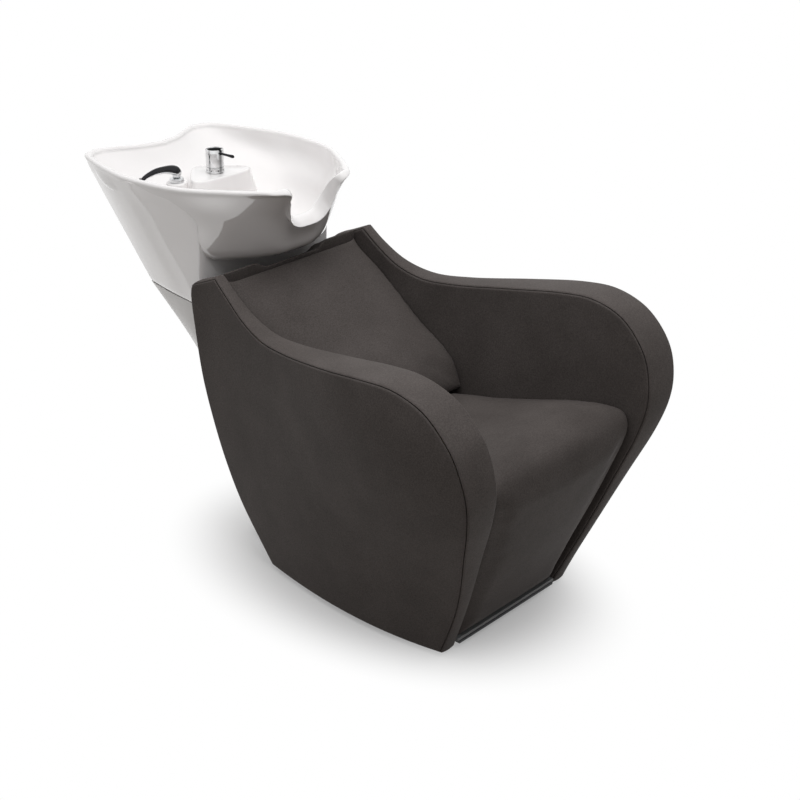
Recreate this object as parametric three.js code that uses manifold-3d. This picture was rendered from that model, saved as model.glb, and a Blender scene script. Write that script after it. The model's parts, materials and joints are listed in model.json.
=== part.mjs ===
// Salon backwash unit: an upholstered armchair with a tilting ceramic basin on a column behind it.
// Millimetres, +Z up. The sitter faces -Y and the basin is at +Y. Local z = 0 is the arms' bottom
// edge, and the finished group stands on the floor, centred on its own bounding box.
import * as THREE from 'three';
import { mergeVertices } from 'three/addons/utils/BufferGeometryUtils.js';
import Module from 'manifold-3d';

const wasm = await Module();
wasm.setup();

// Clearances
const contactGap = 0.4; // between pieces that touch
const seamInset = 0.6; // arm faces to the band sewn round them
const sideGap = 2; // between a cushion and the arm beside it
const runningGap = 0.6; // radial, round a pin or a stem
const overrun = 30; // how far a cutting body runs past what it cuts

// Driving sizes: the heights follow the rim, and the chair and the basin unit follow the arms
const rimHeight = 886; // arms' bottom edge to the basin's rim
const armDepth = 897;
const armReach = 380; // centre line to the widest point of an arm
const armFrontY = -651;
const basinDepth = 581;
const basinHalf = 254;
const basinOverlap = 159; // how far the basin reaches in over the chair

const atHeight = (share) => share * rimHeight;
const armHeight = atHeight(0.8025);
const basinFrontY = armFrontY + armDepth - basinOverlap;

// Arms
const bandThick = 13; // padded strip sewn round the arm's edge
const padThick = 14; // padding on each face of the arm

// Chair body
const boardThick = 15;
const seatPadThick = 52;
const backPadThick = 46;
const seatCrown = 9;
const backCrown = 8;
const padEdgeRoll = 8; // how far a cushion's side edges roll down
const railDip = 16; // recess in the top rail under the basin
const railDipHalf = 118;
const railDipEndHalf = 150;

// Floor frame
const glideHeight = 10; // floor to the arms' bottom edge
const glideRadius = 17;
const glideDiscThick = 7;
const stemRadius = 5;
const bossRadius = 12;
const bossHeight = 14;
const plateThick = 6;
const plateBottom = 2;
const plateFrontY = armFrontY + 0.184 * armDepth;
const plateBackY = armFrontY + 0.964 * armDepth;
const plateEdgeGap = 5; // plate to the arms
const plinthBackY = armFrontY + 0.197 * armDepth;
const plinthThick = 10;
const glideFrontX = 0.316 * armReach;
const glideFrontY = armFrontY + 0.257 * armDepth;
const glideMiddleX = 0.31 * armReach;
const glideMiddleY = armFrontY + 0.525 * armDepth;

// Basin
const atDepth = (share) => basinFrontY + share * basinDepth;
const skirtBottom = atHeight(0.6817);
const skirtWall = 13;
const notchHalf = 92;
const notchDepth = 106;
const notchLip = 11;
const notchCutDepth = 90; // how deep the notch is cut back from the front
const notchLean = 36; // its foot is further back than its top
const notchTurn = 25; // how far the rolled lip runs on along the rim
const lipSwell = 8;
const lipDrop = 6;
const lipTuck = 3; // skirt's top inside the lip
const bowlBottomOut = atHeight(0.7912);
const bowlFloorThick = 16;
const bowlCentreY = atDepth(0.504); // the rim's lip swells square to lines from here

// Column
const columnFrontY = atDepth(0.0224);
const columnDepth = 0.6713 * basinDepth;
const columnHeight = atHeight(0.7968);
const flangeFrontY = atDepth(0.031);
const flangeBackY = atDepth(0.1756);
const crossPlateY = atDepth(0.1704);
const crossPlateBottom = 0.2833 * columnHeight;
const crossPlateTop = 0.3654 * columnHeight;
const shelfFrontY = atDepth(0.3012);
const shelfBackY = atDepth(0.5938);
const shelfTop = atHeight(0.6795);
const restY = atDepth(0.4045);
const restLength = 20;
const restWidth = 20;
const restBottom = 0.9405 * columnHeight;
const restSeat = 0.9575 * columnHeight;
const restTop = bowlBottomOut + 3 * contactGap;
const glideRearX = 68;
const glideRearY = atDepth(0.1704);
const earReach = 90;
const seamGap = 2.5; // skirt to the lower cover
const coverWall = 5;
const cheekHalf = 100; // outer face of each steel cheek
const cheekThick = 6;
const pivotY = columnFrontY + 0.959 * columnDepth;
const pivotZ = 0.9802 * columnHeight;
const pinRadius = 6;
const pinHalf = 108;
const pinHeadRadius = 9;
const columnBoltX = 40;
const columnBoltY = atDepth(0.1084);
const boltRadius = 5;
const boltHeadRadius = 8;
const boltHeadHeight = 6;
const armBoltReach = 49;
const armBoltSeat = 3.4; // head to the slanting board, at the bolt's axis
const armBoltFrontY = armFrontY + 0.3356 * armDepth;
const armBoltRearY = armFrontY + 0.6589 * armDepth;
const armBoltZ = 0.2813 * armHeight;

// Fittings
const mixerY = atDepth(0.5731);
const mixerDeck = atHeight(0.9526);
const mixerRadius = 21.3;
const mixerHeight = 56; // from the platform to the top of the head
const collarHeight = 14;
const leverRadius = 3;
const leverReach = 66;
const leverDrop = 7.4; // lever's axis below the top of the head
const leverZ = mixerDeck + mixerHeight - leverDrop;
const leverBall = 4.2;
const slotHalf = 3.6;
const slotDrop = 4; // below the lever's axis
const capRecess = 16;
const capRadius = 16.4;
const capThick = 4;
const spindleRadius = 15;
const spindleBottom = atHeight(0.9165);
const mixerBore = 17;
const nutRadius = 21;
const nutHeight = 9;
const platformThick = 12;
const platformBase = atHeight(0.8172);
const platformSpread = 1.35; // how much wider the platform is at its foot
const platformHollow = 0.75; // the hollow under it, against its outline
const platformCentreY = atDepth(0.5904);
const showerX = -0.3819 * basinHalf;
const showerY = atDepth(0.6196);
const showerDeck = atHeight(0.9436);
const showerBossTop = 24; // radius at the deck
const showerBossBottom = 30; // radius where it meets the bowl
const showerBossDepth = atHeight(0.0745);
const showerBore = 12;
const socketCollarRadius = 17;
const socketCollarHeight = 10;
const sleeveWall = 2.9;
const sleeveDepth = 46;
const ballRadius = 13;
const ballZ = atHeight(0.974);
const coneRadius = 9.5;
const handleRadius = 7.5;
const handleEndRadius = 5.5;
const sprayRadius = 6.5;
const sprayThick = 3;
const stubBottom = atHeight(0.8296);
const drainY = atDepth(0.3752);
const drainRadius = 30;
const tailRadius = 20;
const drainBore = 24; // radius of the hole through the bowl's floor
const drainSeat = atHeight(0.8104); // underside of the drain flange
const flangeThick = 3;
const strainerRadius = 20;
const strainerHole = 3;
const strainerRing = 12;
const knobRadius = 4;
const knobHeight = 7;
const tailShoulder = atHeight(0.7833);
const tailShoulderRadius = 32;
const tailBottom = atHeight(0.7223);
const socketTop = atHeight(0.7585);
const socketRadius = 32;
const socketWall = 4;
const socketFlange = 40;
const socketBottom = atHeight(0.6343);
const valveX = 0.1772 * basinHalf;
const valveY = atDepth(0.5594);
const valveRadius = 8.4;
const valveNutRadius = 14;
const valveNutHeight = 14;
const valveBottom = atHeight(0.6603);
const valveTop = atHeight(0.7336);
const hoseRadius = 6;
const wasteRadius = 18;

// Finishes taken from the photograph
const finishes = {
  leatherette: { color: 0x3f3b39, roughness: 0.55, metalness: 0 },
  leatheretteBand: { color: 0x4a4644, roughness: 0.55, metalness: 0 },
  ceramic: { color: 0xf2f1ef, roughness: 0.08, metalness: 0 },
  coverWhite: { color: 0xefeeec, roughness: 0.2, metalness: 0 },
  chrome: { color: 0xd8dadc, roughness: 0.08, metalness: 1 },
  darkChrome: { color: 0x3a3b3d, roughness: 0.15, metalness: 1 },
  paintedSteel: { color: 0x2b2b2c, roughness: 0.5, metalness: 0.3 },
  zincSteel: { color: 0x9b9d9f, roughness: 0.35, metalness: 1 },
  plywood: { color: 0xb89a6e, roughness: 0.8, metalness: 0 },
  rubber: { color: 0x1d1d1d, roughness: 0.9, metalness: 0 },
  greyPlastic: { color: 0x8d8f91, roughness: 0.5, metalness: 0 },
  blackPlastic: { color: 0x202021, roughness: 0.5, metalness: 0 },
  brass: { color: 0xb99a55, roughness: 0.3, metalness: 1 },
};

// Arm outline as shares of the arm's depth, from the front, and of its height
const armTopShares = [
  [0.897, 1], [0.849, 0.952], [0.784, 0.902], [0.701, 0.874], [0.6, 0.879], [0.431, 0.91],
  [0.285, 0.938], [0.202, 0.944], [0.14, 0.929], [0.095, 0.903], [0.052, 0.855], [0.02, 0.796],
  [0.001, 0.71], [0.001, 0.64], [0.018, 0.55], [0.06, 0.409], [0.12, 0.211], [0.192, 0],
];
const armBackShares = [
  [0.793, 0], [0.832, 0.08], [0.892, 0.207], [0.933, 0.34], [0.964, 0.478], [0.988, 0.626],
  [0.997, 0.793], [0.998, 0.915], [0.991, 0.945], [0.978, 0.958], [0.95, 0.972], [0.897, 1],
];
// Reach of the outer face as shares of armReach: rows from the top down, columns from front to back
const outerReachShares = [
  [0.861, 0.953, 0.774, 0.674],
  [0.942, 0.95, 0.776, 0.625],
  [0.671, 0.779, 0.7, 0.552],
  [0.447, 0.634, 0.587, 0.403],
];
// Reach of the inner face, laid out the same way
const innerReachShares = [
  [0.756, 0.714, 0.535],
  [0.637, 0.545, 0.43],
  [0.466, 0.41, 0.29],
];
const armCentreShares = [0.56, 0.49];
const armRingShares = [0.45, 0.8, 1];

// Seat and back profiles, as shares of the arm's depth and height
const seatRunShares = [
  [0.558, 0.539], [0.52, 0.549], [0.415, 0.569], [0.299, 0.602], [0.187, 0.635], [0.106, 0.65],
  [0.068, 0.65], [0.046, 0.64], [0.033, 0.621], [0.028, 0.6], [0.031, 0.556], [0.05, 0.48],
  [0.091, 0.335], [0.133, 0.205], [0.168, 0.087], [0.1855, 0.024],
];
const seatRollStations = [5, 9]; // where the seat's front roll starts and ends
const backRunShares = [
  [0.907, 0.968], [0.896, 0.951], [0.825, 0.889], [0.751, 0.818], [0.676, 0.747], [0.608, 0.695],
  [0.555, 0.639], [0.533, 0.595], [0.519, 0.556],
];
const seatFadeShare = 0.2; // how soon a crown fades towards its ends
const backFadeShare = 0.25;
const endRollShare = 0.3; // how much of the side roll is left at the ends
const seatBoardShares = [0, 0.96];
const frontBoardShares = [0.08, 0.965];
const backBoardShares = [0.03, 1];
const sideBoardShares = [0.94, 0.08]; // where its outline leaves the seat's line and meets the front's
const sideCentreShares = [0.5, 0.4];
const plateStationShares = [0, 0.2, 0.4, 0.6, 0.8, 1];
const padColumnShares = [-1, -0.96, -0.86, -0.6, -0.3, 0, 0.3, 0.6, 0.86, 0.96, 1];

// Basin outlines: half of each section, from the middle of the front to the middle of the back,
// as shares of the basin's half width and of its depth
const rimShares = [
  [0, -0.01], [0.2, -0.008], [0.35, 0.002], [0.433, 0.022], [0.528, 0.065], [0.642, 0.122],
  [0.74, 0.186], [0.839, 0.251], [0.921, 0.324], [0.972, 0.411], [0.996, 0.515], [1, 0.614],
  [0.961, 0.711], [0.906, 0.807], [0.839, 0.895], [0.78, 0.957], [0.724, 0.986], [0.598, 1],
  [0.469, 0.978], [0.224, 0.921], [0, 0.898],
];
// Bowl sections: how far down from the rim to the underside, and the outline there
const bowlOutShares = [
  { down: 0.25, outline: [[0, 0.01], [0.22, 0.014], [0.37, 0.03], [0.57, 0.1], [0.75, 0.176],
    [0.87, 0.262], [0.95, 0.42], [0.97, 0.61], [0.9, 0.8], [0.68, 0.9], [0, 0.85]] },
  { down: 0.46, outline: [[0, 0.036], [0.24, 0.04], [0.4, 0.071], [0.59, 0.136], [0.74, 0.203],
    [0.815, 0.272], [0.86, 0.42], [0.83, 0.58], [0.65, 0.685], [0.36, 0.705], [0, 0.7]] },
  { down: 0.73, outline: [[0, 0.067], [0.2, 0.071], [0.36, 0.1], [0.54, 0.158], [0.7, 0.222],
    [0.8, 0.277], [0.79, 0.41], [0.72, 0.53], [0.53, 0.61], [0.29, 0.625], [0, 0.625]] },
  { down: 0.9, outline: [[0, 0.105], [0.18, 0.108], [0.33, 0.131], [0.49, 0.172], [0.63, 0.222],
    [0.74, 0.28], [0.72, 0.4], [0.61, 0.5], [0.43, 0.56], [0.24, 0.575], [0, 0.575]] },
  { down: 0.978, outline: [[0, 0.146], [0.16, 0.15], [0.3, 0.17], [0.43, 0.205], [0.54, 0.243],
    [0.62, 0.284], [0.61, 0.38], [0.53, 0.46], [0.37, 0.515], [0.21, 0.53], [0, 0.53]] },
];
const bowlInShares = [
  { down: 0.25, outline: [[0, 0.043], [0.24, 0.043], [0.39, 0.065], [0.57, 0.129], [0.72, 0.198],
    [0.83, 0.28], [0.91, 0.42], [0.93, 0.61], [0.86, 0.77], [0.66, 0.86], [0, 0.81]] },
  { down: 0.5, outline: [[0, 0.064], [0.22, 0.069], [0.37, 0.096], [0.54, 0.158], [0.68, 0.216],
    [0.76, 0.28], [0.8, 0.42], [0.76, 0.55], [0.59, 0.64], [0.31, 0.665], [0, 0.66]] },
  { down: 0.73, outline: [[0, 0.094], [0.19, 0.098], [0.34, 0.122], [0.49, 0.172], [0.62, 0.226],
    [0.7, 0.29], [0.71, 0.41], [0.63, 0.5], [0.43, 0.57], [0.24, 0.585], [0, 0.585]] },
  { down: 0.9, outline: [[0, 0.13], [0.16, 0.134], [0.3, 0.16], [0.41, 0.205], [0.51, 0.253],
    [0.55, 0.31], [0.55, 0.4], [0.47, 0.47], [0.31, 0.52], [0.18, 0.535], [0, 0.535]] },
];
const bowlStations = 22;
// Skirt sections at its top and bottom, same layout
const skirtTopShares = [
  [0, 0.281], [0.76, 0.281], [0.84, 0.284], [0.885, 0.3], [0.935, 0.336], [0.985, 0.411],
  [1.018, 0.515], [1.024, 0.614], [0.99, 0.714], [0.935, 0.814], [0.865, 0.904], [0.8, 0.969],
  [0.734, 0.998], [0.598, 1.013], [0.469, 0.991], [0.224, 0.934], [0, 0.911],
];
const skirtBottomShares = [
  [0, 0.281], [0.72, 0.281], [0.77, 0.286], [0.79, 0.3], [0.797, 0.325], [0.792, 0.363],
  [0.78, 0.41], [0.762, 0.465], [0.738, 0.522], [0.71, 0.58], [0.68, 0.637], [0.648, 0.678],
  [0.606, 0.689], [0.504, 0.678], [0.394, 0.663], [0.189, 0.637], [0, 0.628],
];

// Column cheek, basin ear and the bar between the ears: shares of the column's depth and height
const cheekShares = [
  [0.231, 0.012], [0.295, 0.212], [0.405, 0.425], [0.487, 0.567], [0.603, 0.68], [0.738, 0.765],
  [0.872, 0.856], [0.99, 0.969], [0.995, 0.992], [0.959, 1], [0.91, 0.997], [0.628, 0.958],
  [0.513, 0.958], [0.487, 0.85], [0.415, 0.765], [0.349, 0.637], [0.287, 0.496], [0.21, 0.354],
  [0.128, 0.227], [0.051, 0.127], [0, 0.012],
];
const earShares = [
  [0.921, 0.962], [0.997, 0.962], [0.997, 1], [0.967, 1.065],
  [0.946, 1.084], [0.905, 1.058], [0.921, 1.044],
];
const earBarShares = [
  [0.905, 1.057], [0.946, 1.083], [0.959, 1.078], [0.918, 1.051],
];
// Lower cover sections from the top down: height share, then front, back and half width as basin shares
const coverShares = [
  [1, 0.325, 0.688, 0.795], [0.798, 0.301, 0.484, 0.717], [0.6, 0.264, 0.37, 0.61],
  [0.391, 0.215, 0.325, 0.551], [0.166, 0.102, 0.275, 0.5], [0.02, 0.005, 0.262, 0.49],
];
const coverFirstShare = 4; // first skirt point that the cover follows
// Neck notch from the rim down: shares of its half width and depth
const notchShares = [[0.88, 0.226], [0.826, 0.453], [0.739, 0.698], [0.565, 0.877], [0.326, 0.972], [0, 1]];
const platformShares = [
  [0, 0.497], [0.161, 0.499], [0.276, 0.507], [0.339, 0.528], [0.319, 0.565],
  [0.236, 0.612], [0.134, 0.659], [0.055, 0.69], [0, 0.697],
];
// Hose runs: shares of the basin's half width and depth, and of the rim's height
const wasteShares = [
  [0, 0.375, 0.633], [0, 0.375, 0.619], [0, 0.368, 0.589], [0, 0.343, 0.525],
  [0, 0.281, 0.418], [0, 0.239, 0.282], [0, 0.184, 0.135], [0, 0.151, 0.025],
];
const supplyShares = [
  [0.177, 0.559, 0.659], [0.177, 0.559, 0.646], [0.177, 0.542, 0.628], [0.173, 0.453, 0.57],
  [0.165, 0.367, 0.497], [0.157, 0.301, 0.423], [0.15, 0.256, 0.282], [0.146, 0.194, 0.124],
  [0.146, 0.16, 0.023],
];
const feedShares = [
  [0.047, 0.573, 0.916], [0.047, 0.573, 0.903], [0.063, 0.575, 0.869], [0.122, 0.58, 0.807],
  [0.173, 0.563, 0.758], [0.177, 0.559, 0.745], [0.177, 0.559, 0.735],
];
const loopShares = [
  [-0.382, 0.62, 0.829], [-0.382, 0.62, 0.821], [-0.358, 0.614, 0.805], [-0.315, 0.606, 0.786],
  [-0.283, 0.599, 0.756], [-0.236, 0.601, 0.722], [-0.15, 0.602, 0.708], [-0.063, 0.602, 0.725],
  [-0.02, 0.602, 0.79], [0, 0.597, 0.858], [0, 0.597, 0.903], [0, 0.597, 0.916],
];
const handleShares = [
  [-0.425, 0.619, 0.976], [-0.492, 0.623, 0.982], [-0.591, 0.63, 0.983], [-0.685, 0.637, 0.977],
  [-0.748, 0.642, 0.968],
];

// Points and curves

function mix(a, b, share) {
  return a + (b - a) * share;
}

function mixPoint(a, b, share) {
  return [mix(a[0], b[0], share), mix(a[1], b[1], share)];
}

// A place in the side view, from shares of the arm's depth and height
function armPoint([depthShare, heightShare]) {
  return [armFrontY + depthShare * armDepth, heightShare * armHeight];
}

// A place in plan, from shares of the basin's half width and depth
function basinPoint([halfShare, depthShare]) {
  return [halfShare * basinHalf, basinFrontY + depthShare * basinDepth];
}

// A place on the column's side view, from shares of its depth and height
function columnPoint([depthShare, heightShare]) {
  return [columnFrontY + depthShare * columnDepth, heightShare * columnHeight];
}

// A place in and under the basin, on one side of the middle
function unitPoint([halfShare, depthShare, heightShare], side = 1) {
  return [side * halfShare * basinHalf, basinFrontY + depthShare * basinDepth, heightShare * rimHeight];
}

// A smooth line through flat points, sampled at a given number of steps
function smoothLine(points, steps) {
  const through = points.map(([a, b]) => new THREE.Vector3(a, b, 0));
  const curve = new THREE.CatmullRomCurve3(through, false, 'centripetal');
  return curve.getPoints(steps).map((point) => [point.x, point.y]);
}

// Moves each point of a line square to it, to its left where the distance is positive
function offsetLine(points, distance, closed) {
  const last = points.length - 1;
  return points.map((point, i) => {
    const before = points[i === 0 ? (closed ? last : 0) : i - 1];
    const after = points[i === last ? (closed ? 0 : last) : i + 1];
    const toHere = new THREE.Vector2(point[0] - before[0], point[1] - before[1]).normalize();
    const onward = new THREE.Vector2(after[0] - point[0], after[1] - point[1]).normalize();
    const along = toHere.clone().add(onward).normalize();
    const reach = distance / Math.max(0.5, along.dot(onward.lengthSq() ? onward : toHere));
    return [point[0] - along.y * reach, point[1] + along.x * reach];
  });
}

// Value at a share of the way along a row of evenly spaced values, on one smooth curve
function throughValues(values, share) {
  const last = values.length - 1;
  return values.reduce((sum, value, i) => {
    const weight = values.reduce(
      (product, _, k) => (k === i ? product : (product * (share * last - k)) / (i - k)),
      1,
    );
    return sum + value * weight;
  }, 0);
}

function reachOf(grid, y, z) {
  const depthShare = (y - armFrontY) / armDepth;
  const heightShare = z / armHeight;
  const rows = grid.map((row) => throughValues(row, depthShare));
  return armReach * throughValues(rows, 1 - heightShare);
}

const innerX = (y, z) => reachOf(innerReachShares, y, z);
const outerX = (y, z) => reachOf(outerReachShares, y, z);

// Closed geometry

// Joins triangles into one closed geometry with its faces pointing out
function closedGeometry(points, triangles) {
  const raw = new THREE.BufferGeometry();
  raw.setAttribute('position', new THREE.Float32BufferAttribute(points.flat(), 3));
  raw.setIndex(triangles.flat());
  const merged = mergeVertices(raw);
  const index = merged.index.array;
  const kept = [];
  for (let i = 0; i < index.length; i += 3) {
    const [a, b, c] = [index[i], index[i + 1], index[i + 2]];
    if (a !== b && b !== c && c !== a) kept.push(a, b, c);
  }
  merged.setIndex(kept);
  return facingOut(merged);
}

function facingOut(geometry) {
  const place = geometry.attributes.position;
  const index = geometry.index.array;
  const [a, b, c] = [new THREE.Vector3(), new THREE.Vector3(), new THREE.Vector3()];
  let volume = 0;
  for (let i = 0; i < index.length; i += 3) {
    a.fromBufferAttribute(place, index[i]);
    b.fromBufferAttribute(place, index[i + 1]);
    c.fromBufferAttribute(place, index[i + 2]);
    volume += a.dot(b.cross(c));
  }
  if (volume < 0) {
    for (let i = 0; i < index.length; i += 3) {
      [index[i], index[i + 1]] = [index[i + 1], index[i]];
    }
  }
  return geometry;
}

function bareGeometry(geometry) {
  const bare = geometry.clone();
  bare.deleteAttribute('normal');
  bare.deleteAttribute('uv');
  const merged = mergeVertices(bare);
  const place = merged.attributes.position;
  const points = Array.from({ length: place.count }, (_, i) => [place.getX(i), place.getY(i), place.getZ(i)]);
  const triangles = [];
  for (let i = 0; i < merged.index.count; i += 3) {
    triangles.push([merged.index.getX(i), merged.index.getX(i + 1), merged.index.getX(i + 2)]);
  }
  return closedGeometry(points, triangles);
}

function solidOf(geometry) {
  const bare = bareGeometry(geometry);
  return new wasm.Manifold(new wasm.Mesh({
    numProp: 3,
    vertProperties: new Float32Array(bare.attributes.position.array),
    triVerts: new Uint32Array(bare.index.array),
  }));
}

function geometryOf(solid) {
  const { numProp, vertProperties, triVerts } = solid.getMesh();
  const points = [];
  for (let i = 0; i < vertProperties.length; i += numProp) {
    points.push([...vertProperties.slice(i, i + 3)]);
  }
  const geometry = new THREE.BufferGeometry();
  geometry.setAttribute('position', new THREE.Float32BufferAttribute(points.flat(), 3));
  geometry.setIndex([...triVerts]);
  return geometry;
}

function cutFrom(geometry, ...cutters) {
  return geometryOf(cutters.reduce((solid, cutter) => solid.subtract(solidOf(cutter)), solidOf(geometry)));
}

function joined(geometry, ...others) {
  return geometryOf(others.reduce((solid, other) => solid.add(solidOf(other)), solidOf(geometry)));
}

// Skins rings of points that all have the same count; each end closes on a point or as a strip
function loft(rings, { endPoints = null } = {}) {
  const count = rings[0].length;
  const points = rings.flat();
  const triangles = [];
  for (let r = 0; r + 1 < rings.length; r += 1) {
    for (let i = 0; i < count; i += 1) {
      const next = (i + 1) % count;
      const [a, b] = [r * count + i, r * count + next];
      const [c, d] = [a + count, b + count];
      triangles.push([a, b, d], [a, d, c]);
    }
  }
  const lastRing = (rings.length - 1) * count;
  if (endPoints) {
    const first = points.push(endPoints[0]) - 1;
    const last = points.push(endPoints[1]) - 1;
    for (let i = 0; i < count; i += 1) {
      const next = (i + 1) % count;
      triangles.push([next, i, first], [lastRing + i, lastRing + next, last]);
    }
  } else {
    for (let i = 0; i + 1 < count / 2; i += 1) {
      const far = count - 1 - i;
      triangles.push([i + 1, i, far], [i + 1, far, far - 1]);
      triangles.push([lastRing + i, lastRing + i + 1, lastRing + far]);
      triangles.push([lastRing + i + 1, lastRing + far - 1, lastRing + far]);
    }
  }
  return closedGeometry(points, triangles);
}

// Skins rings round a closed path, the last back to the first
function closedLoop(rings) {
  const count = rings[0].length;
  const triangles = rings.flatMap((ring, r) => ring.flatMap((_, i) => {
    const next = (i + 1) % count;
    const onward = ((r + 1) % rings.length) * count;
    const [a, b, c, d] = [r * count + i, r * count + next, onward + i, onward + next];
    return [[a, b, d], [a, d, c]];
  }));
  return closedGeometry(rings.flat(), triangles);
}

// A slab between two outlines in the side view, each on a face whose reach varies over it
function slabOver([nearOutline, nearX], [farOutline, farX], centre, side) {
  const faces = [[nearOutline, nearX], [farOutline, farX]].map(([outline, reach]) => [
    [side * reach(...centre), ...centre],
    ...armRingShares.flatMap((share) => outline.map((point) => {
      const [y, z] = mixPoint(centre, point, share);
      return [side * reach(y, z), y, z];
    })),
  ]);
  const count = nearOutline.length;
  const perFace = faces[0].length;
  const triangles = [];
  for (let i = 0; i < count; i += 1) {
    const next = (i + 1) % count;
    for (let ring = 0; ring < armRingShares.length; ring += 1) {
      const [a, b] = [1 + ring * count + i, 1 + ring * count + next];
      const [c, d] = ring === 0 ? [0, 0] : [a - count, b - count];
      triangles.push([a, b, d], [a, d, c]);
      triangles.push([perFace + b, perFace + a, perFace + d], [perFace + a, perFace + c, perFace + d]);
    }
    const rim = 1 + (armRingShares.length - 1) * count;
    const [a, b] = [rim + i, rim + next];
    triangles.push([b, a, perFace + a], [b, perFace + a, perFace + b]);
  }
  return closedGeometry(faces.flat(), triangles);
}

// A pad or board across the chair, between a visible line and a hidden one in the side view
function padAcross(run, hidden, columns, halfAt, raise) {
  const lifted = (share) => run.map((_, i) => {
    const lift = raise(share, i / (run.length - 1));
    return offsetLine(run, -lift, false)[i];
  });
  const rings = columns.map((share) => {
    const top = lifted(share).map(([y, z]) => [share * halfAt(y, z), y, z]);
    const under = hidden.map(([y, z]) => [share * halfAt(y, z), y, z]);
    return [...top, ...under.reverse()];
  });
  return loft(rings);
}

function boardAcross(start, end, thickness, halfAt) {
  const under = offsetLine([start, end], -thickness, false);
  return padAcross([start, end], under, [-1, 1], halfAt, () => 0);
}

// An outline in the side view, pulled out along X
function prismAcross(outline, fromX, toX) {
  const shape = new THREE.Shape(outline.map(([y, z]) => new THREE.Vector2(y, z)));
  const geometry = new THREE.ExtrudeGeometry(shape, { depth: toX - fromX, bevelEnabled: false });
  const turn = new THREE.Matrix4().makeBasis(
    new THREE.Vector3(0, 1, 0),
    new THREE.Vector3(0, 0, 1),
    new THREE.Vector3(1, 0, 0),
  );
  return geometry.applyMatrix4(turn).translate(fromX, 0, 0);
}

// An outline seen from the front, pulled out along Y
function prismAlong(outline, fromY, toY) {
  const shape = new THREE.Shape(outline.map(([x, z]) => new THREE.Vector2(x, z)));
  const geometry = new THREE.ExtrudeGeometry(shape, { depth: toY - fromY, bevelEnabled: false });
  return geometry.rotateX(Math.PI / 2).translate(0, toY, 0);
}

function box(fromPoint, toPoint) {
  const size = toPoint.map((value, i) => value - fromPoint[i]);
  const middle = toPoint.map((value, i) => (value + fromPoint[i]) / 2);
  return new THREE.BoxGeometry(...size).translate(...middle);
}

// A turned piece on a vertical axis, from its radius and height points
function turned(profile, sides) {
  const points = profile.map(([radius, height]) => new THREE.Vector2(radius, height));
  return new THREE.LatheGeometry(points, sides).rotateX(Math.PI / 2);
}

function rod(radius, bottom, top, sides) {
  return turned([[0, bottom], [radius, bottom], [radius, top], [0, top]], sides);
}

function ring(innerRadius, outerRadius, bottom, top, sides) {
  const inner = [innerRadius, bottom];
  return turned([inner, [outerRadius, bottom], [outerRadius, top], [innerRadius, top], inner], sides);
}

function rodAlongX(radius, fromX, toX, y, z, sides) {
  return rod(radius, fromX, toX, sides).rotateY(Math.PI / 2).translate(0, y, z);
}

// A round bar along a smooth path, its radius read off a row of values
function bar(path, radii, sides, steps) {
  const curve = new THREE.CatmullRomCurve3(path.map((point) => new THREE.Vector3(...point)), false, 'centripetal');
  const frames = curve.computeFrenetFrames(steps, false);
  const rings = frames.tangents.map((_, i) => {
    const centre = curve.getPointAt(i / steps);
    const radius = throughValues(radii, i / steps);
    return Array.from({ length: sides }, (__, k) => {
      const angle = (2 * Math.PI * k) / sides;
      const out = frames.normals[i].clone().multiplyScalar(Math.cos(angle) * radius);
      out.addScaledVector(frames.binormals[i], Math.sin(angle) * radius);
      return out.add(centre).toArray();
    });
  });
  return loft(rings, { endPoints: [path[0], path.at(-1)] });
}

// The model

const unit = new THREE.Group();
unit.position.z = glideHeight;

function addPiece(name, geometry, finish) {
  const mesh = new THREE.Mesh(bareGeometry(geometry), new THREE.MeshStandardMaterial(finishes[finish]));
  mesh.name = name;
  unit.add(mesh);
}

// Both sides of the chair, as the sitter has them: left is +X
const sides = [['left', 1], ['right', -1]];
const glidePlaces = sides.flatMap(([name, side]) => [
  [side * glideFrontX, glideFrontY, `${name}_front`],
  [side * glideMiddleX, glideMiddleY, `${name}_middle`],
  [side * glideRearX, glideRearY, `${name}_rear`],
]);

const armFloorShares = [0.32, 0.44, 0.56, 0.68].map((share) => [share, 0]);
const armOutline = [
  ...smoothLine(armTopShares.map(armPoint), 27),
  ...armFloorShares.map(armPoint),
  ...smoothLine(armBackShares.map(armPoint), 11).slice(0, -1),
];

function insetOutline(distance) {
  return offsetLine(armOutline, distance, true);
}

const armCentre = armPoint(armCentreShares);
const hiddenEdge = insetOutline(bandThick + seamInset);
const seamEdge = insetOutline(seamInset);
const innerHidden = (y, z) => innerX(y, z) + padThick;
const outerHidden = (y, z) => outerX(y, z) - padThick;

function armCore(side) {
  const near = (y, z) => innerHidden(y, z) + contactGap;
  const far = (y, z) => outerHidden(y, z) - contactGap;
  return slabOver([hiddenEdge, near], [hiddenEdge, far], armCentre, side);
}

function armOuterPad(side) {
  return slabOver([hiddenEdge, outerHidden], [seamEdge, outerX], armCentre, side);
}

function armInnerPad(side) {
  return slabOver([seamEdge, innerX], [hiddenEdge, innerHidden], armCentre, side);
}

function armBand(side) {
  const inset = insetOutline(bandThick);
  const rings = armOutline.map(([y, z], i) => [
    [side * innerX(y, z), y, z],
    [side * outerX(y, z), y, z],
    [side * outerHidden(...inset[i]), ...inset[i]],
    [side * innerHidden(...inset[i]), ...inset[i]],
  ]);
  return closedLoop(rings);
}

// A bolt from inside a side board, through the inner pad, into the arm's core
function armBolt(side, y) {
  const seat = innerX(y, armBoltZ) - sideGap - boardThick - armBoltSeat;
  return turned([
    [0, seat - boltHeadHeight], [boltHeadRadius, seat - boltHeadHeight], [boltHeadRadius, seat],
    [boltRadius, seat], [boltRadius, seat + armBoltReach], [0, seat + armBoltReach],
  ], 8).rotateY((side * Math.PI) / 2).translate(0, y, armBoltZ);
}

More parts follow.
